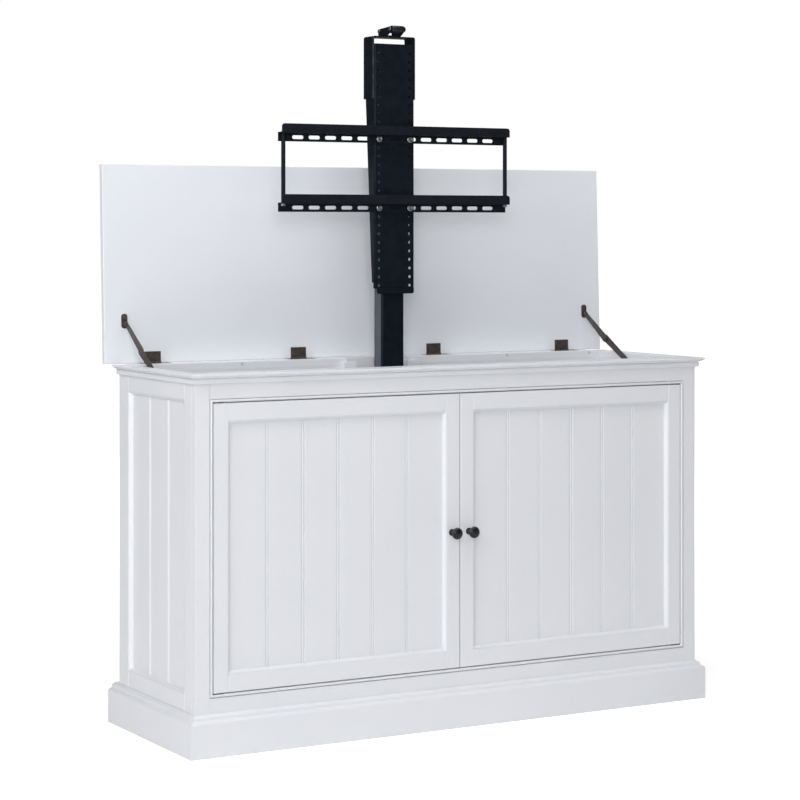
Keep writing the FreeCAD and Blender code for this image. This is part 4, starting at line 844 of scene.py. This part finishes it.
for side, word in SIDES:
    low, high = (corner * 1000 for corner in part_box(f"stay_upper_arm_{word}"))
    inner = low.x if side > 0 else high.x
    mesh = lathe(RIVET_DOME, mm(inner, ELBOW_Y, ELBOW_Z), (-side, 0, 0), RIVET_STEPS)
    name = f"elbow_rivet_{word}"
    new_piece(name, finish_mesh(mesh, name, smooth_angle=60), "bronzed_steel", f"stay_upper_{word}")


# ------------------------------------------------------------------ stage, light and camera

WORLD_LIGHT = 0.11
WORLD_TINT = (0.985, 0.99, 1.0, 1)
WHITE = (1, 1, 1, 1)
FLOOR_SIZE = 60
FLOOR_PARTS = 24
# What the camera sees of the floor's glow: FLOOR_GLOW as far as GLOW_FROM, full from GLOW_TO on, in metres.
FLOOR_GLOW = 0.5
GLOW_FROM = 1.0
GLOW_TO = 4.0
# Each light has a place, a width in metres and a power in watts.
LIGHTS = {
    "left": ((-5.5, -1.5, 3.6), 4.5, 152),
    "left_front": ((-4.8, -5.0, 4.6), 5.2, 140),
    "front": ((-3.5, -6.4, 2.3), 2.4, 160),
    "top": ((0.0, -1.2, 4.6), 2.6, 74),
    "back": ((2.6, 5.6, 3.0), 3.0, 90),
}
LIGHT_TARGET = Vector((0, 0, 0.8))
# The photo's camera: its focal length and its horizon's row are in pixels of the 800 pixel square.
PICTURE_SIZE = 800
FOCAL_PIXELS = 2356.68
HORIZON_ROW = 225.753
SENSOR_WIDTH = 36
CAMERA_PLACE = (-3.03767, -5.26706, 1.248485)
CAMERA_TURN = -29.63
CLIP_END = 200


def stage_floor():
    """A plain pale floor that is bright enough to meet the white backdrop without a line."""
    mesh = bmesh.new()
    bmesh.ops.create_grid(mesh, x_segments=FLOOR_PARTS, y_segments=FLOOR_PARTS, size=FLOOR_SIZE)
    floor = bpy.data.objects.new("studio_floor", finish_mesh(mesh, "studio_floor"))
    bpy.context.scene.collection.objects.link(floor)
    pale = Finish("studio_floor", specular=0.2)
    dark, light = (0.900, 0.902, 0.905), (0.915, 0.917, 0.920)
    pale.colour(pale.ramp(pale.noise(1.5, 3, 0.5), (0.3, dark), (0.7, light)))
    pale.roughness(pale.ramp(pale.noise(8, 3, 0.5), (0.3, 0.78), (0.7, 0.86)))
    pale.bump(pale.noise(300, 2, 0.5), depth=0.0001, strength=0.2)
    distance = pale.add("ShaderNodeVectorMath", {0: pale.place}, operation="LENGTH")
    rise = pale.add("ShaderNodeMapRange", {
        "Value": distance.outputs["Value"], "From Min": GLOW_FROM, "From Max": GLOW_TO,
        "To Min": FLOOR_GLOW, "To Max": 1.0,
    })
    to_camera = pale.add("ShaderNodeLightPath").outputs["Is Camera Ray"]
    glow = pale.maths("MULTIPLY", to_camera, rise.outputs["Result"])
    pale.shader.inputs["Emission Color"].default_value = WHITE
    pale.tree.links.new(glow, pale.shader.inputs["Emission Strength"])
    floor.data.materials.append(pale.material)


def studio_world():
    """White to the camera, and a dim light on everything else."""
    world = bpy.data.worlds.new("studio")
    bpy.context.scene.world = world
    world.use_nodes = True
    tree = world.node_tree
    tree.nodes.clear()
    seen = add_node(tree, "ShaderNodeBackground", {"Color": WHITE, "Strength": 1.0})
    lighting = add_node(tree, "ShaderNodeBackground", {"Color": WORLD_TINT, "Strength": WORLD_LIGHT})
    to_camera = add_node(tree, "ShaderNodeLightPath").outputs["Is Camera Ray"]
    sockets = {0: to_camera, 1: lighting.outputs[0], 2: seen.outputs[0]}
    choice = add_node(tree, "ShaderNodeMixShader", sockets)
    add_node(tree, "ShaderNodeOutputWorld", {0: choice.outputs[0]})


def area_light(name, place, width, power):
    """A square light that looks at the cabinet."""
    light = bpy.data.lights.new(name, "AREA")
    light.shape = "SQUARE"
    light.size = width
    light.energy = power
    item = bpy.data.objects.new(name, light)
    item.location = place
    item.rotation_euler = (LIGHT_TARGET - Vector(place)).to_track_quat("-Z", "Y").to_euler()
    bpy.context.scene.collection.objects.link(item)


def photo_camera():
    """The photo's camera: level, with the horizon brought up by a shift."""
    data = bpy.data.cameras.new("camera")
    data.sensor_width = SENSOR_WIDTH
    data.lens = SENSOR_WIDTH * FOCAL_PIXELS / PICTURE_SIZE
    data.shift_y = -(PICTURE_SIZE / 2 - HORIZON_ROW) / PICTURE_SIZE
    data.clip_end = CLIP_END
    camera = bpy.data.objects.new("camera", data)
    camera.location = CAMERA_PLACE
    camera.rotation_euler = (math.radians(90), 0, math.radians(CAMERA_TURN))
    bpy.context.scene.collection.objects.link(camera)
    bpy.context.scene.camera = camera


stage_floor()
studio_world()
for name, (place, width, power) in LIGHTS.items():
    area_light(name, place, width, power)
photo_camera()
bpy.context.scene.view_settings.view_transform = "Standard"
